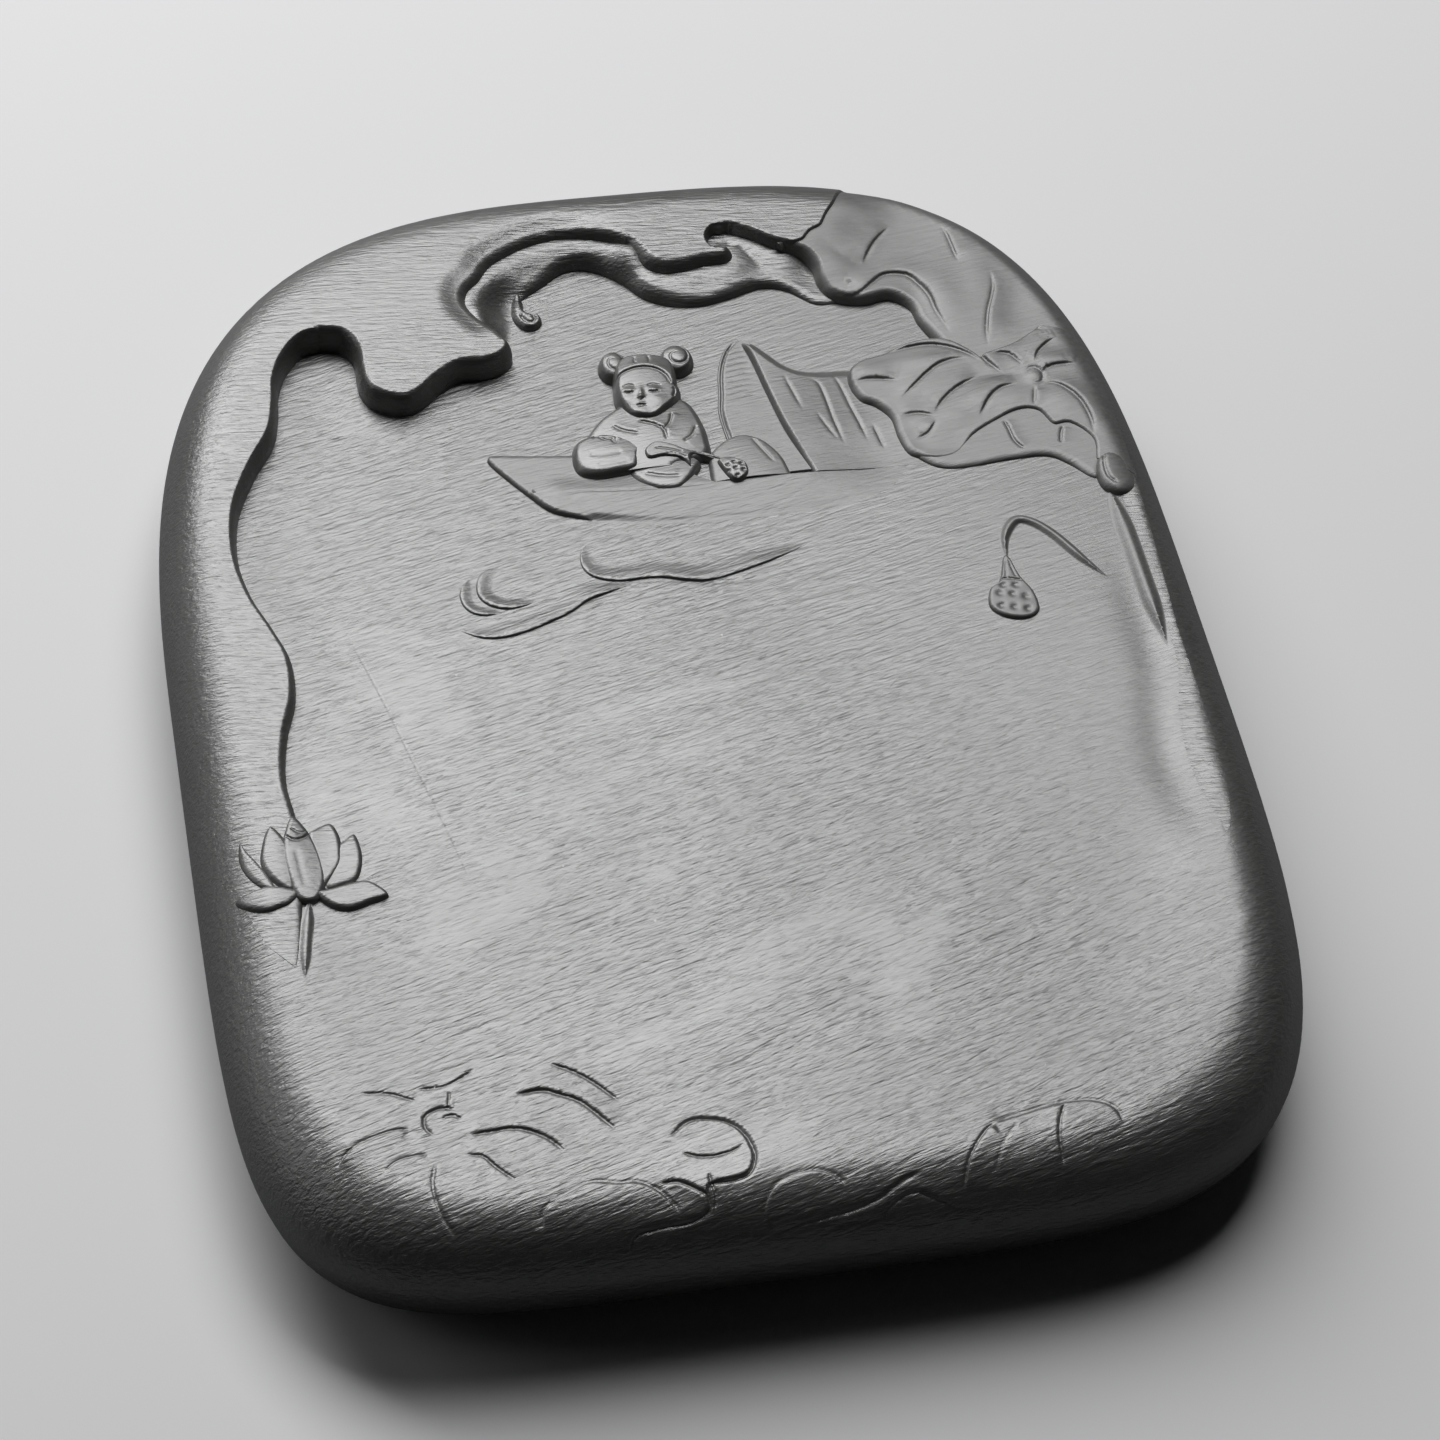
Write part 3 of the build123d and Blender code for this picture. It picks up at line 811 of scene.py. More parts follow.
foot_marks = [
    Crease([-690, -780, -720, -778, -760, -785, -800, -800, -830, -825], 0.3, 0.24, 0.3, 2.2),
    Crease([-670, -820, -720, -825, -750, -840], 0.25, 0.22, 0.2, 1.8),
    Crease([-660, -835, -672, -870, -666, -910, -645, -945], 0.22, 0.3, 0.15, 1.8),
    Crease([-610, -830, -580, -835, -560, -855, -530, -880], 0.22, 0.24, 0.2, 1.8),
    Crease([-600, -800, -560, -798, -520, -797, -490, -805, -460, -822, -440, -845], 0.34, 0.26,
        0.3, 2.2),
    Crease([-510, -745, -460, -742, -430, -752, -400, -765, -375, -787, -345, -820], 0.36, 0.26,
        0.35, 2.4),
    Crease([-440, -700, -400, -718, -365, -742, -330, -775], 0.26, 0.24, 0.2, 2.0),
    Crease([-670, -718, -630, -718, -600, -710, -565, -695], 0.22, 0.22, 0.15, 1.8),
    Crease([-770, -715, -720, -720, -675, -737], 0.2, 0.24, 0.12, 1.8),
    Crease([-655, -795, -668, -780, -665, -762, -640, -752, -610, -755], 0.36, 0.24, 0.25, 1.4),
    Crease([-635, -770, -628, -765, -615, -766, -605, -772], 0.3, 0.22, 0.1, 1.0),
    Crease([-625, -755, -620, -740, -617, -725], 0.2, 0.18),
    Crease(
        [-502, -955, -495, -930, -475, -916, -445, -906, -405, -895, -360, -902, -325, -905,
            -290, -925, -262, -955],
        0.42, 0.24, -0.35, 3.0, 0.08),
    Crease([-290, -912, -260, -912, -225, -930, -212, -940], 0.36, 0.24, 0.2, 1.2),
    Crease([-205, -905, -205, -920, -200, -935, -205, -955], 0.34, 0.2),
    Crease(
        [-360, -990, -345, -970, -300, -965, -250, -963, -215, -953, -212, -930, -200, -921,
            -165, -920, -135, -912, -120, -885, -130, -850, -155, -828, -192, -819, -224, -821,
            -258, -842],
        0.55, 0.25, 0.3, 2.2, 0.06),
    Crease([-245, -868, -210, -879, -170, -878, -132, -868], 0.28, 0.2, 0.12, 1.4),
    Crease([-117, -978, -122, -964, -111, -945, -84, -928, -34, -919, 4, -928, 28, -947], 0.34,
        0.24, -0.25, 2.6, 0.08),
    Crease([-126, -981, -99, -982, -62, -978, -6, -974, 34, -971, 84, -962, 123, -948, 161, -940],
        0.5, 0.32, 0.15, 1.5, 0.1),
    Crease([-23, -989, 9, -983, 73, -981, 107, -969, 140, -962, 178, -972, 233, -987], 0.26, 0.26,
        0.25, 1.6),
    Crease([310, -884, 286, -892, 245, -930, 226, -967], 0.34, 0.24, 0.28, 2.0),
    Crease([345, -886, 308, -917, 285, -952], 0.12, 0.34, 0.1, 1.6),
    Crease([300, -885, 340, -877, 425, -865, 482, -867, 517, -883, 527, -911], 0.36, 0.24, -0.3,
        2.4, 0.1),
    Crease([407, -956, 408, -920, 418, -890, 434, -868], 0.36, 0.26, 0.25, 2.0)]
water_lines = [
    Crease([-168, 138, -98, 142, -36, 139, 44, 126, 126, 120, 176, 126, 227, 136], 0.07, 0.5, 0.1,
        2.4, 0.3),
    Crease([-346, 74, -268, 89, -201, 114, -137, 124, -54, 122], 0.07, 0.5, 0.1, 2.4, 0.3)]
hairline = Crease([-667, 137, -647, 78, -611, -33, -579, -145, -537, -288, -504, -419], 0.05, 0.13,
    fade=0.2)

right_trough = Crease(
    [855, 160, 852, 50, 850, -50, 842, -150, 820, -230, 808, -300, 810, -370, 822, -440, 835, -500],
    0.28, 3.0, fade=0.3)
pool_wall = curve(mm(wall_edge[6:] + tongue_edge[:18]), 0.8)
fillet_rise = 0.3
fillet_reach = 8
foot_cut = 0.7
inlay_sink = 0.4


def foot_level(points):
    """The ground with the lines cut into it and a slight fillet under the left wall."""
    distance, _, place = nearest(points, pool_wall)
    ends = smooth(place / 0.25) * (1 - smooth((place - 0.85) / 0.15))
    result = ground(points) + fillet_rise * (1 - smooth(distance / fillet_reach)) * ends
    for mark in (right_trough, hairline):
        result = result + mark.change(points)
    for mark in foot_marks:
        result = result + foot_cut * mark.change(points)
    for mark in water_lines:
        result = result + mark.change(points)
    return result


def closed_loop(numbers):
    """The outline of a plan without walls."""
    return round_plan(numbers, 0, 0.4)[0]


foot_plans = {
    "foot_leaf": closed_loop(
        [-820, -800, -760, -720, -660, -722, -570, -700, -440, -710, -350, -770, -340, -850, -440,
         -880, -530, -920, -620, -945, -740, -890]),
    "foot_bud_leaf": closed_loop(
        [-500, -955, -480, -918, -440, -906, -405, -895, -330, -906, -285, -905, -250, -880, -262,
         -843, -200, -820, -143, -836, -126, -870, -126, -905, -165, -922, -200, -928, -225, -957,
         -300, -965, -360, -975]),
    "foot_disc": closed_loop(
        [-125, -955, -80, -924, -30, -922, 15, -945, 30, -965, -40, -977, -100, -975]),
    "foot_right_leaf": closed_loop(
        [215, -965, 235, -930, 275, -895, 340, -880, 440, -867, 495, -885, 520, -925, 440, -950,
         320, -965]),
}


def body():
    """The block from its underside up to the ground of the pool, and the foot's own skin."""
    rows = []
    for step in range(10):
        tilt = pi / 2 * step / 10
        rows.append(ring_points(base_round * (1 - sin(tilt)), girth_height * (1 - cos(tilt))))
    for step in range(9):
        rows.append(block_ring(tilts * step / 8))
    count = len(rows)
    side = np.concatenate(rows)
    faces = []
    for row in range(count - 1):
        for turn in range(turns):
            following = (turn + 1) % turns
            faces.append((row * turns + turn, row * turns + following,
                          (row + 1) * turns + following, (row + 1) * turns + turn))
    halves = [face[:3] for face in faces] + [(face[0], face[2], face[3]) for face in faces]
    side_normals = vertex_normals(side, halves)
    upper = np.arange(len(side)) >= (count - 6) * turns
    side_normals[upper] = field_normals(block_top, side[upper][:, :2])
    loop = seam[:, :2]
    rows = [row for mark in (*foot_marks, *water_lines, hairline) for row in mark.rows()]
    inner = np.concatenate([*rows, grid(loop, 2.0 * steps)])
    inner = inner[inside(inner, loop)]
    gap = nearest(inner, loop, closed=True)[0]
    inner = inner[gap > body_edge_clearance]
    inlays = list(foot_plans.values())
    for inlay in inlays:
        gap = nearest(inner, inlay, closed=True)[0]
        inner = np.concatenate(beside(inlay, [0.16, -0.16]) + [inner[gap > body_spacing]])
    points, top_faces, _ = triangulate(loop, thin_out(inner, body_spacing * steps), inlays)
    levels = foot_level(points)
    for inlay in inlays:
        gap = nearest(points, inlay, closed=True)[0]
        levels = levels - np.where(inside(points, inlay) & (gap > 0.05), inlay_sink, 0)
    first = len(side) - turns
    vertices = np.concatenate([side, np.column_stack([points, levels])[turns:]])
    normals = np.concatenate([side_normals, field_normals(foot_level, points[turns:])])
    faces += [tuple(first + corner for corner in face) for face in top_faces]
    shaded = np.ones(len(faces) + 1, dtype=bool)
    shaded[-1] = False
    faces.append(tuple(range(turns - 1, -1, -1)))
    return add_piece("stone_block", vertices, faces, shaded, normals, "field_stone",
                     ["stone_body"])


body()
for node, inlay in foot_plans.items():
    carved(node + "_skin", "field_stone", (inlay, []), foot_level, node, 1.5, sunk=0.3,
           under=foot_level, rows_of=foot_marks)


# Rims and clouds

back_line = curve(mm([-238, 660] + tongue_back + head_rim_edge), 0.6)
scroll_line = curve(mm(scroll_edge + scroll_curl + scroll_back), 0.6)
leaf_side = curve(mm([370, 797] + rear_leaf_side + [520, 910, 600, 1100]), 1.0)

# Rises above the ground, and how far the swellings reach from their lines
ribbon_rise = 1.6
ribbon_back_rise = 1.7
ribbon_lip_rise = 1.1
back_reach = 6
lip_reach = 5.5
curl_rise = 1.3
curl_climb = 0.9
rear_leaf_reach = 11


def ribbon_top(spots):
    x = spots[:, 0] / half_width
    back = nearest(spots, back_line)[0]
    scroll = nearest(spots, scroll_line)[0]
    edge = ribbon_rise * (1 - 0.6 * smooth((x - 0.30) / 0.14))
    behind = ribbon_back_rise * (1 - smooth(back / back_reach))
    lip = ribbon_lip_rise * (1 - smooth(scroll / lip_reach))
    return ground(spots) + edge + behind + lip


def cloud_top(spots):
    """The rim's top, which slopes down to the ribbon behind the clouds' lip."""
    distance, _, place = nearest(spots, back_line)
    ends = smooth(place / 0.12) * (1 - smooth((place - 0.70) / 0.30))
    share = 0.5 * (1 - smooth(distance / lip_reach)) * ends
    return block_top(spots) * (1 - share) + (ribbon_top(spots) + 0.12) * share


def curl_top(spots):
    climb = curl_climb * smooth((spots[:, 1] / half_length - 0.735) / 0.03)
    return ground(spots) + curl_rise + climb


def rear_top(spots):
    distance = nearest(spots, leaf_side)[0]
    level = leaf_top(spots, rear_leaf_drop)
    side = block_top(spots) - 0.45
    return level + (side - level) * (1 - smooth(distance / rear_leaf_reach))


carved("left_edge", "rim_stone",
    plan((-845, -500), free(wall_edge, 1.2), to_seam(133), along_seam(133, 207)), block_top,
    "left_rim")
carved("tongue_cloud", "rim_stone",
    plan((-610, 698), free(tongue_edge, 1.5), free(tongue_back, 2.2), to_seam(96),
        along_seam(96, 133)),
    cloud_top, "cloud_tongue")
carved("head_edge", "rim_stone",
    plan((-93, 866), free(head_rim_edge, 2.0), *corners(60, 910, 520, 910),
        to_seam(60, 1.0), along_seam(60, 96)),
    cloud_top, "head_rim")
carved("scroll_cloud", "rim_stone",
    plan((42, 832), free(scroll_edge, 2.2), free(scroll_curl, 0.9),
        free(scroll_back, 1.4), free(rear_leaf_side + [520, 910], 1.0),
        flush(60, 910)),
    block_top, "cloud_scroll")
carved("ribbon_cloud", "rim_stone",
    plan((-238, 655), free(ribbon_edge[:6], -6), free(ribbon_edge[6:], 1.8),
        *corners(440, 780, 300, 860, 50, 875, -120, 885, -260, 835, -325, 760, -310, 700,
            -262, 655)),
    ribbon_top, "cloud_ribbon")
carved("curl_cloud", "rim_stone",
    round_plan(
        [-205, 768, -213, 745, -210, 722, -195, 703, -172, 700, -156, 712, -158, 729, -175, 734,
            -186, 742, -186, 757, -190, 772],
        1.0, 0.25),
    curl_top, "cloud_curl", 0.6,
    [Crease([-198, 732, -190, 716, -176, 711, -168, 720, -178, 727], 0.4, 0.28)])

# Leaves at the right

carved("back_leaf", "leaf_stone",
    plan((370, 797), free(rear_leaf_edge, 1.5), flush(750, 500), to_seam(30),
        along_seam(30, 61), *corners(505, 920, 488, 890),
        flush(468, 865, 448, 842, 424, 830, 402, 815, 385, 810), *corners(355, 805, 370, 797)),
    rear_top, "rear_leaf",
    marks=[Swell((470, 742), 4.5, 3.2, 0.45, 0.3), Swell((560, 735), 4.5, 3.5, -0.3, 0.0),
        Swell((660, 800), 7, 9, -0.35), Swell((620, 660), 3.0, 6.5, -0.5),
        Swell((530, 850), 5, 5, -0.15), Swell((750, 700), 3.5, 9, 0.3),
        Swell((800, 620), 4, 5, -0.2), Swell((680, 680), 3.5, 8, 0.3),
        vein(
            [420, 700, 440, 690, 470, 675, 500, 680, 530, 700, 560, 715, 600, 710, 620, 690,
                635, 660, 640, 620, 655, 560],
            1.7, 0.3, 0.25, 2.0, 0.28),
        vein([520, 735, 530, 755, 560, 790, 600, 820], 1.7, 0.2, 0.15, 2.0),
        vein([700, 810, 710, 790, 715, 720], 1.6, 0.18, 0.15, 2.0),
        vein([775, 700, 770, 660, 745, 610, 730, 570, 720, 530], 1.5, 0.22, 0.2, 2.0)])
carved("near_leaf", "leaf_stone",
    plan((704, 527), free(front_leaf_top, 1.0), free(front_leaf_left, 1.4),
        free(fold_edge, 0.8), flush(904, 262), to_seam(14.5), along_seam(14.5, 30.5),
        flush(834, 574), free([764, 542, 704, 527], 0.9)),
    lambda spots: leaf_top(spots, 0), "front_leaf",
    marks=[Swell((550, 525), 9, 2.0, 0.28), Swell((470, 512), 4, 1.8, 0.22),
        Swell((570, 475), 7, 2.6, 0.3, 0.5), Swell((620, 410), 5, 2.6, 0.32, 0.5),
        Swell((690, 445), 5, 2.2, 0.28, 0.4), Swell((745, 425), 4, 1.8, 0.25, 0.3),
        Swell((840, 410), 3.6, 3.2, 0.35), Swell((530, 360), 3, 3, -0.25),
        Swell((840, 500), 3, 1.6, 0.25), Swell((750, 535), 5, 1.6, 0.22),
        Swell((780, 495), 3, 1.4, 0.18), Swell((730, 478), 5, 1.2, -0.2),
        Swell((600, 340), 5, 2.5, -0.3),
        vein([655, 560, 690, 530, 710, 500, 735, 470], 1.0, 0.26, 0.2, 1.8),
        vein([500, 535, 550, 545, 600, 548, 640, 538, 680, 515, 700, 495], 1.2, 0.24, 0.2, 1.8),
        vein([430, 485, 460, 488, 500, 483, 520, 477], 1.3, 0.22, 0.15, 1.6),
        vein([510, 435, 550, 465, 600, 498, 640, 510, 680, 508], 1.2, 0.24, 0.2, 1.8),
        vein([570, 400, 600, 430, 640, 455, 690, 473], 1.1, 0.24, 0.2, 1.8),
        vein([660, 385, 690, 420, 720, 440, 760, 447], 1.0, 0.24, 0.2, 1.8),
        vein([500, 405, 540, 407, 575, 395], 1.2, 0.2, 0.12, 1.5),
        vein([520, 355, 550, 365, 575, 390], 1.2, 0.2, 0.12, 1.5),
        vein([805, 485, 820, 510, 850, 530, 870, 535], 0.8, 0.22, 0.2, 1.6),
        vein([810, 460, 830, 475, 870, 478, 890, 475], 0.8, 0.22, 0.2, 1.6),
        vein([800, 445, 840, 435, 870, 400, 880, 360, 875, 320], 0.8, 0.26, 0.2, 1.6),
        vein([790, 440, 780, 410, 775, 395], 0.9, 0.2, 0.1, 1.2),
        vein([720, 515, 760, 510, 780, 480], 0.9, 0.2, 0.12, 1.4),
        vein([735, 525, 780, 540, 820, 560, 860, 555], 0.8, 0.2, 0.12, 1.6),
        vein([778, 462, 786, 474, 800, 477, 812, 466, 810, 450, 797, 443, 782, 449], 0.9, 0.3, 0.0,
            1.6),
        Swell(seen([796, 460], 0.9), 1.4, 1.5, 0.35)])
carved("folded_leaf", "leaf_stone",
    plan((519, 330), flush(*fold_under), free(flap_edge, 1.5)),
    lambda spots: leaf_top(spots, flap_drop), "leaf_flap",
    marks=[Crease(seen([705, 375, 710, 360, 715, 330, 730, 310], 1.4), 0.2, 0.25, 0.12, 1.2),
        Crease(seen([820, 350, 812, 335, 805, 315], 1.2), 0.2, 0.25, 0.12, 1.2)])
carved("leaf_point", "leaf_stone",
    round_plan([858, 252, 864, 222, 890, 207, 922, 217, 940, 250, 930, 282, 900, 295, 870, 284],
        1.6),
    lambda spots: block_top(spots) - 0.05, "leaf_tip", 0.8,
    [Crease([886, 292, 876, 262, 878, 238, 892, 222], 0.3, 0.28)])
carved("right_edge", "rim_stone",
    plan((893, 262),
        free([895, 120, 895, -50, 887, -150, 862, -220, 850, -300, 853, -370, 868, -430, 880, -500],
            -6),
        to_seam(333), along_seam(333, 374.5)),
    block_top, "right_rim", sunk=1.3, under=foot_level)
carved("tip_stalk", "leaf_stone", band_plan([874, 235, 878, 120, 879, 0, 882, -100], 1.7),
    raised(0.7), "leaf_stalk", 0.8, under=foot_level)

# Seed pod

pod_marks = [Crease([577, 48, 610, 60, 648, 52], 0.25, 0.2),
    Crease([624, 103, 606, 75, 592, 54], 0.14, 0.2),
    Crease([627, 104, 619, 80, 613, 60], 0.14, 0.2),
    Crease([630, 103, 631, 80, 634, 58], 0.14, 0.2)]
for x, y in [(592, 32), (616, 28), (640, 20), (588, 8), (612, 2), (637, -4), (603, 47), (628, 45)]:
    pod_marks.append(Swell((x, y), 0.55, 0.6, -0.3))
carved("pod", "leaf_stone",
    round_plan(
        [622, 105, 602, 62, 577, 44, 567, 10, 592, -13, 632, -20, 660, -6, 660, 30, 643, 65,
            634, 105],
        0.6, 0.25),
    domed(0.5, (613, 30), 5.2, 9.0, base=0.25), "seed_pod", 0.6, pod_marks)
carved("stalk_of_pod", "leaf_stone",
    band_plan([628, 95, 638, 145, 668, 178, 700, 172, 735, 140, 775, 85, 815, 40], 1.0),
    raised(0.62), "pod_stalk", 0.8, under=foot_level)

# Boat

gunwale = curve(mm([-200, 335, -100, 322, 100, 315, 300, 318, 520, 320]), 0.5)
hull_rise = 1.1
awning_rise = 1.75
awning_fall = 1.25


def hull_top(spots):
    x = spots[:, 0] / half_width
    distance, side, _ = nearest(spots, gunwale)
    bow = 1 - smooth((x + 0.26) / 0.22)
    outer = 1 - (1 - 0.6 * bow) * np.clip(distance / 7.0, 0, 1)
    inner = 1 - 0.35 * smooth(distance / 4)
    rise = hull_rise * np.where(side < 0, outer, inner) * (1 - smooth((x - 0.26) / 0.20))
    return ground(spots) + rise + 0.02


carved("boat", "boat_stone",
    plan((-320, 434), free(bow_edge, 0.7), free(keel_edge, -1.6), *corners(105, 319, -20, 400),
        free([-195, 419, -255, 426, -320, 434], 1.2)),
    hull_top, "boat_hull",
    marks=[Crease([-215, 325, -160, 330, -100, 325, 0, 319, 100, 318], 0.1, 0.25)])
mat_marks = [Crease(shares(mat_edge).reshape(-1, 2) + (0.007, -0.003), 0.42, 0.22, fade=0.12)]
for step in range(9):
    level = 0.50 + 0.0125 * step
    left = 0.163 + 0.25 * (level - 0.50) + 0.30 * max(0, level - 0.585)
    line = [left + 0.004, level - 0.004, 0.5 * left + 0.124, level + 0.002, 0.243, level + 0.004]
    mat_marks.append(Crease(np.array(line), 0.07, 0.18, fade=0.3))
carved("awning_lining", "boat_stone",
    plan((165, 330), free(mat_edge, 0.8), *corners(250, 620, 262, 560, 285, 450, 315, 330)),
    raised(0.45), "awning_mat", marks=mat_marks)


def awning_top(spots):
    x = spots[:, 0] / half_width
    y = spots[:, 1] / half_length
    full = awning_rise - awning_fall * smooth((x - 0.25) / 0.22)
    foot = hull_rise * (1 - smooth((x - 0.26) / 0.20))
    return ground(spots) + foot + (full - foot) * smooth((y - 0.32) / 0.10) + 0.02


reeds = [Crease([296, 537, 302, 510, 310, 477, 317, 444], 0.12, 0.3, fade=0.4),
    Crease([336, 515, 361, 511, 369, 482, 373, 429, 379, 388, 383, 366], 0.16, 0.28, fade=0.3),
    Crease([395, 532, 407, 501, 415, 456, 424, 414, 431, 371], 0.16, 0.28, fade=0.3),
    Crease([449, 413, 454, 387, 459, 357], 0.14, 0.3, fade=0.3),
    Crease([341, 448, 355, 413, 373, 378], 0.1, 0.3, fade=0.4)]
carved("boat_awning", "boat_stone",
    plan((304, 321), free(awning_front, 0.8), free(awning_roof, -2.4),
        *corners(525, 514, 525, 320, 304, 321)),
    awning_top, "awning", marks=reeds)
carved("covered_load", "boat_stone",
    plan((100, 320), free([108, 375, 137, 404, 180, 419, 220, 404, 250, 366, 262, 320], 0.9),
        flush(100, 320)),
    domed(1.5, (182, 337), 8.6, 10.3), "bundle", 0.8,
    [Crease([200, 408, 213, 380, 232, 345], 0.12, 0.3, 0.1, 1.2)])

# Child

lean = radians(-7)
head_spot = mm((12, 527))[0]
face_middle = -0.7


def on_head(across, up):
    """A point given from the middle of the head, in its own leaning frame, as shares."""
    return (head_spot + np.array([across, up]) @ turned(lean)) / (half_width, half_length)


def head_line(points, depth, width, lift=0.0, spread=1.0, fade=0.2):
    line = np.array([on_head(*point) for point in points])
    return Crease(line, depth, width, lift, spread, fade, step=0.2)


def face_line(points, depth, width):
    return head_line([(face_middle + across, up) for across, up in points], depth, width)


def face_swell(across, up, wide, tall, rise):
    return Swell(on_head(face_middle + across, up), wide, tall, rise, lean)


face_marks = [
    face_swell(-1.9, -1.6, 1.0, 0.55, 0.28),
    face_swell(2.1, -1.6, 1.0, 0.55, 0.28),
    face_swell(-0.05, -2.6, 0.45, 1.3, 0.35),
    face_swell(-0.1, -3.3, 0.62, 0.42, 0.30),
    face_swell(-2.2, -3.6, 1.3, 1.3, 0.20),
    face_swell(2.4, -3.7, 1.4, 1.4, 0.20),
    face_swell(-0.1, -6.1, 1.1, 0.7, 0.22),
    face_swell(-0.1, -4.55, 0.75, 0.26, 0.20),
    face_swell(-0.1, -5.1, 0.6, 0.24, 0.20),
    face_line([(-2.9, -1.75), (-1.9, -2.15), (-1.0, -1.85)], 0.26, 0.15),
    face_line([(1.1, -1.85), (2.1, -2.15), (3.2, -1.7)], 0.26, 0.15),
    face_line([(-3.0, -0.6), (-1.9, -0.2), (-0.8, -0.65)], 0.16, 0.2),
    face_line([(0.9, -0.65), (2.1, -0.2), (3.4, -0.6)], 0.16, 0.2),
    face_line([(-0.95, -4.85), (-0.1, -4.78), (0.8, -4.85)], 0.24, 0.13),
    face_line([(-0.62, -3.4), (-0.5, -3.6), (-0.2, -3.65)], 0.16, 0.13),
    face_line([(0.02, -3.65), (0.3, -3.6), (0.45, -3.4)], 0.16, 0.13),
    head_line([(-4.6, 0.6), (-3.8, 2.3), (-2.0, 3.4), (0.2, 3.8), (2.2, 3.2), (3.6, 1.8),
               (4.2, -0.2)], 0.22, 0.22, 0.25, 1.6, 0.1),
    head_line([(4.1, 0.2), (5.0, -0.2), (5.35, -1.6), (4.9, -3.0), (4.2, -3.8)], 0.3, 0.22),
    head_line([(4.3, -0.7), (4.8, -1.1), (4.7, -2.1), (4.3, -2.9)], 0.28, 0.2),
    head_line([(-1.2, 4.4), (-1.4, 5.6), (-1.2, 6.6)], 0.10, 0.2),
    head_line([(0.9, 4.5), (1.0, 5.6), (0.8, 6.8)], 0.10, 0.2),
]
head_plan = [
    (-4.9, 1.5), (-4.85, -1.2), (-4.3, -3.8), (-2.9, -6.3), (-0.6, -7.5), (1.8, -7.0),
    (3.7, -5.2), (4.6, -4.2), (5.6, -2.8), (5.95, -0.6), (5.5, 1.2), (5.4, 4.2), (4.4, 6.9),
    (0.9, 7.9), (-3.0, 7.5), (-4.8, 5.0)]
carved("child_face", "figure_stone",
    round_plan(np.array([on_head(*point) for point in head_plan]), 1.1, 0.22),
    domed(3.3, on_head(0.3, 0.4), 7.2, 10.3, lean, 0.55, 0.1), "child_head", 0.5, face_marks)


def hair_knot(name, node, middle, across, along):
    centre = mm(middle)[0]
    spiral = []
    for step in range(14):
        turn = 0.6 * step + 0.8
        reach = 0.16 + 0.052 * step
        spot = centre + np.array([across * reach * cos(turn), along * reach * sin(turn)])
        spiral.append(spot / (half_width, half_length))
    return carved(
        name, "figure_stone", oval_plan(centre, across, along, 0.9, lean, 0.22),
        domed(2.4, middle, across * 1.1, along * 1.1, lean, 0.8),
        node, 0.5, [Crease(np.array(spiral), 0.2, 0.2, 0.0, 1.0, 0.1, step=0.2)])


hair_knot("left_hair_knot", "hair_bun_left", (-36, 592), 2.5, 3.4)
hair_knot("right_hair_knot", "hair_bun_right", (93, 592), 2.9, 3.4)
carved("child_robe", "figure_stone",
    plan((35, 550), flush(-30, 530), free([-45, 504, -87, 479, -110, 459, -130, 439], 1.3),
        flush(-125, 400, -60, 360), flush(40, 360),
        free([108, 378, 117, 414, 113, 454, 98, 494, 70, 515], 1.3), flush(35, 550)),
    domed(2.3, (-5, 440), 12.5, 12.5), "child_torso", 0.8,
    [Crease([-20, 458, 12, 447, 30, 432, 30, 410], 0.22, 0.22, 0.12, 1.2),
        Crease([55, 470, 45, 448, 28, 430], 0.2, 0.22, 0.1, 1.2),
        Crease([-70, 455, -50, 440, -20, 430], 0.15, 0.3, 0.1, 1.2),
        Crease([98, 440, 85, 420, 62, 405], 0.15, 0.3, 0.1, 1.2)])
carved("wide_sleeve", "figure_stone",
    round_plan(
        [-145, 435, -162, 402, -157, 368, -125, 353, -80, 354, -40, 359, -28, 372, -15, 395,
            -5, 415, -45, 432, -95, 446],
        1.4, 0.25),
    domed(2.4, (-85, 395), 9.5, 8.6), "child_sleeve", 0.7,
    [Crease([-118, 430, -105, 436, -92, 426, -80, 427, -72, 416, -66, 430], 0.22, 0.2),
        Crease([-30, 367, -35, 385, -22, 408], 0.22, 0.2),
        Crease([-130, 395, -100, 392, -60, 395], 0.1, 0.5),
        Crease([-120, 375, -90, 372, -50, 378], 0.08, 0.5)])
carved("child_lap", "figure_stone",
    plan((-65, 372), free([-45, 338, -10, 316, 35, 314, 65, 334, 90, 362], 1.1),
        *corners(60, 385, -30, 385, -65, 372)),
    domed(1.6, (20, 350), 8.5, 6.8), "child_knees", 0.7,
    [Crease([-30, 352, 10, 340, 45, 338], 0.12, 0.35, 0.1, 1.2)])
carved("reaching_hand", "figure_stone",
    round_plan(
        [-20, 398, 5, 412, 40, 404, 66, 392, 100, 386, 135, 370, 130, 360, 98, 372, 75, 374,
            68, 352, 60, 356, 50, 368, 20, 374, -10, 372, -22, 380],
        0.8, 0.22),
    lambda spots: ground(spots) + 2.45 - 1.1 * smooth((spots[:, 0] / half_width - 0.02) / 0.11),
    "child_arm", 0.6,
    [Crease([0, 395, 30, 389, 58, 380], 0.16, 0.2), Crease([20, 382, 45, 378, 66, 368], 0.16, 0.18),
        Crease([75, 384, 100, 378, 125, 366], 0.14, 0.16)])
held_seeds = []
for across, up in [(-0.9, 1.0), (0.2, 1.5), (1.3, 1.0), (-1.0, -0.4), (0.2, 0.1), (1.4, -0.4),
                   (0.2, -1.5)]:
    spot = np.array([0.148 + across / half_width, 0.335 + up / half_length])
    held_seeds.append(Swell(spot, 0.36, 0.36, -0.28))
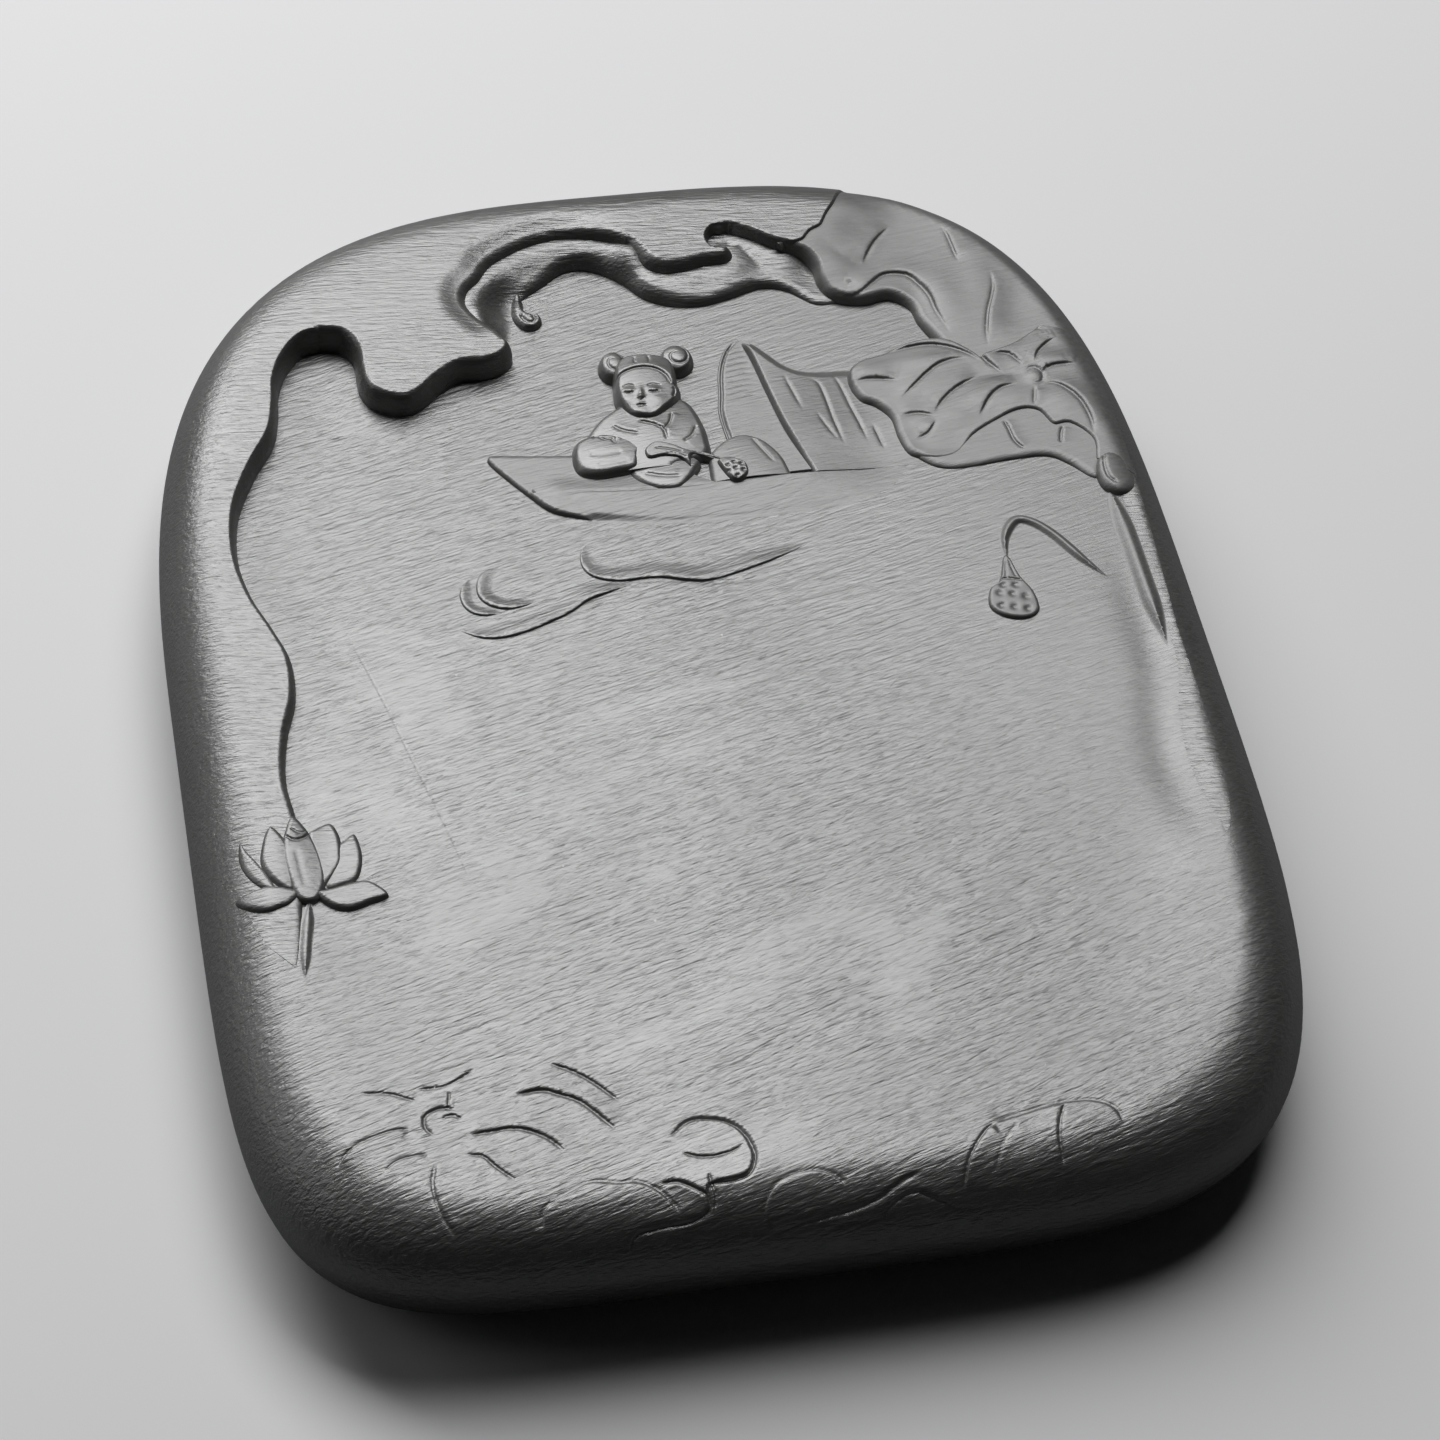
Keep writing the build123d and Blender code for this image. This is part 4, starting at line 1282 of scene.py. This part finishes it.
carved("small_pod", "figure_stone",
    round_plan([118, 362, 124, 338, 138, 315, 160, 313, 177, 326, 178, 348, 162, 360, 140, 368],
        0.7, 0.2),
    domed(2.2, (148, 338), 4.2, 4.6, power=0.7), "held_pod", 0.5, held_seeds)

# Lotus on the left rim

rim_line = curve(mm([-845, -500] + wall_edge[:12]), 0.8)


def flower_ground(spots):
    """The rim's top or the hall beside it, which the petals lie on."""
    distance, side, _ = nearest(spots, rim_line)
    step = smooth(0.5 + np.where(side > 0, distance, -distance) / 9)
    return ground(spots) * (1 - step) + block_top(spots) * step


def petal(name, node, numbers, rise, across, along, middle, marks=()):
    def top(spots):
        bulge = 0.35 + 0.65 * dome(spots, middle, across, along)
        return flower_ground(spots) + rise * bulge
    return carved(name, "flower_stone", round_plan(numbers, 0.8, 0.25), top, node, 0.6, marks,
                  1.5, flower_ground)


petal("far_left_petal", "petal_far_left",
    [-912, -275, -903, -292, -885, -318, -868, -345, -860, -368, -885, -360, -908, -335,
        -918, -305],
    0.5, 5, 6, (-885, -330))
petal("left_petal", "petal_left",
    [-857, -257, -840, -268, -822, -300, -820, -340, -830, -370, -858, -358, -880, -325,
        -875, -290],
    0.8, 4, 7, (-850, -315))
petal("far_right_petal", "petal_far_right",
    [-704, -278, -722, -284, -742, -300, -760, -340, -775, -368, -740, -366, -712, -355,
        -698, -318],
    0.7, 5, 6, (-725, -325))
petal("right_petal", "petal_right",
    [-790, -275, -775, -262, -746, -253, -733, -275, -733, -310, -742, -335, -780, -368,
        -790, -330],
    0.9, 4.5, 7, (-758, -305))
petal("low_right_petal", "petal_low_right",
    [-663, -394, -680, -372, -705, -362, -755, -369, -790, -376, -768, -402, -735, -411,
        -700, -404],
    1.0, 10, 4, (-725, -385))
petal("low_left_petal", "petal_low_left",
    [-934, -372, -900, -363, -865, -360, -820, -372, -835, -390, -855, -397, -885, -402,
        -915, -392],
    0.7, 8, 4, (-875, -380))
petal("middle_bloom", "bloom",
    [-812, -238, -790, -262, -772, -300, -767, -345, -780, -380, -800, -392, -825, -384, -838, -345,
        -840, -300, -828, -262],
    1.0, 4.2, 10, (-803, -320),
    [Crease([-833, -275, -815, -285, -795, -280, -785, -268], 0.25, 0.22),
        Crease([-820, -262, -805, -272, -790, -270], 0.15, 0.2),
        Crease([-815, -300, -812, -335, -808, -370], 0.08, 0.5)])
carved("stalk_of_lotus", "flower_stone",
    band_plan([-803, -385, -812, -420, -824, -470, -833, -520], 0.9),
    lambda spots: flower_ground(spots) + 0.35, "flower_stalk", 0.6,
    [Crease([-791, -400, -800, -440, -812, -500], 0.2, 0.25)], 1.2, flower_ground)


# Water under the boat

def ripple(name, node, numbers, half_breadth, rise):
    return carved(name, "ripple_stone", band_plan(numbers, half_breadth, crisp=0.3),
                  raised(rise), node, 0.8, sunk=0.3)


ripple("upper_wave", "upper_ripple",
    [-140, 236, -172, 214, -167, 179, -125, 164, -45, 163, 45, 146, 135, 161, 265, 184], 1.9, 0.4)
ripple("lower_wave", "lower_ripple", [-455, 92, -395, 76, -325, 84, -245, 109, -185, 136, -85, 142],
    1.9, 0.4)
ripple("inner_eddy", "swirl", [-340, 204, -373, 182, -380, 149, -350, 129, -285, 127], 1.3, 0.35)
ripple("outer_eddy", "outer_swirl", [-405, 186, -419, 149, -405, 122, -355, 111], 1.0, 0.3)


# Floor, light and camera

# Grey for the light, and pale for the camera
floor_colours = (0.20, 0.20, 0.205, 1), (0.97, 0.97, 0.98, 1)
world_colours = (0.0038, 0.0038, 0.0040, 1), (0.55, 0.55, 0.56, 1)
camera_distance = 0.595141


def floor(reach):
    mesh = bpy.data.meshes.new("ground_plane")
    corners = [(-reach, -reach, 0), (reach, -reach, 0), (reach, reach, 0), (-reach, reach, 0)]
    mesh.from_pydata(corners, [], [(0, 1, 2, 3)])
    mesh.update()
    plane = add_object("ground_plane", mesh)
    material, tree, shader = add_material("pale_ground")
    tree.links.new(for_camera(tree, *floor_colours), shader.inputs["Base Color"])
    shader.inputs["Roughness"].default_value = 0.6
    mesh.materials.append(material)


def lamp(name, place, target, wide, tall, watts, roll=0):
    light = bpy.data.lights.new(name, "AREA")
    light.shape = "RECTANGLE"
    light.size = wide
    light.size_y = tall
    light.energy = watts
    holder = add_object(name, light)
    holder.location = place
    facing = Vector(target) - Vector(place)
    turn = Quaternion((0, 0, 1), radians(roll))
    holder.rotation_mode = "QUATERNION"
    holder.rotation_quaternion = facing.to_track_quat("-Z", "Y") @ turn


floor(1.4)
lamp("main_softbox", (-0.10, 0.78, 0.90), (-0.03, 0, 0.02), 1.6, 0.62, watts=14, roll=-45)
lamp("left_fill", (-0.95, 0.30, 0.55), (-0.05, 0, 0), 0.6, 0.9, watts=0.88)
world = bpy.data.worlds.new("studio")
bpy.context.scene.world = world
world.use_nodes = True
backdrop = for_camera(world.node_tree, *world_colours)
world.node_tree.links.new(backdrop, world.node_tree.nodes["Background"].inputs["Color"])


def camera():
    """A 100 mm lens on a 36 mm sensor, 595 mm from the stone."""
    azimuth = radians(-14.670)
    elevation = radians(50.372)
    roll = radians(5.170)
    back = Vector((sin(azimuth) * cos(elevation), -cos(azimuth) * cos(elevation), sin(elevation)))
    level_right = Vector((cos(azimuth), sin(azimuth), 0))
    level_up = back.cross(level_right)
    right = level_right * cos(roll) + level_up * sin(roll)
    up = level_up * cos(roll) - level_right * sin(roll)
    target = Vector((-0.128, -15.944, rim_height)) * MM
    data = bpy.data.cameras.new("camera")
    data.lens = 100
    data.sensor_width = 36
    data.clip_start = 0.01
    data.clip_end = 20
    holder = add_object("camera", data)
    frame_rows = Matrix((right, up, back)).transposed()
    place = Matrix.Translation(target + back * camera_distance)
    holder.matrix_world = place @ frame_rows.to_4x4()
    bpy.context.scene.camera = holder


camera()
bpy.context.scene.view_settings.view_transform = "Standard"
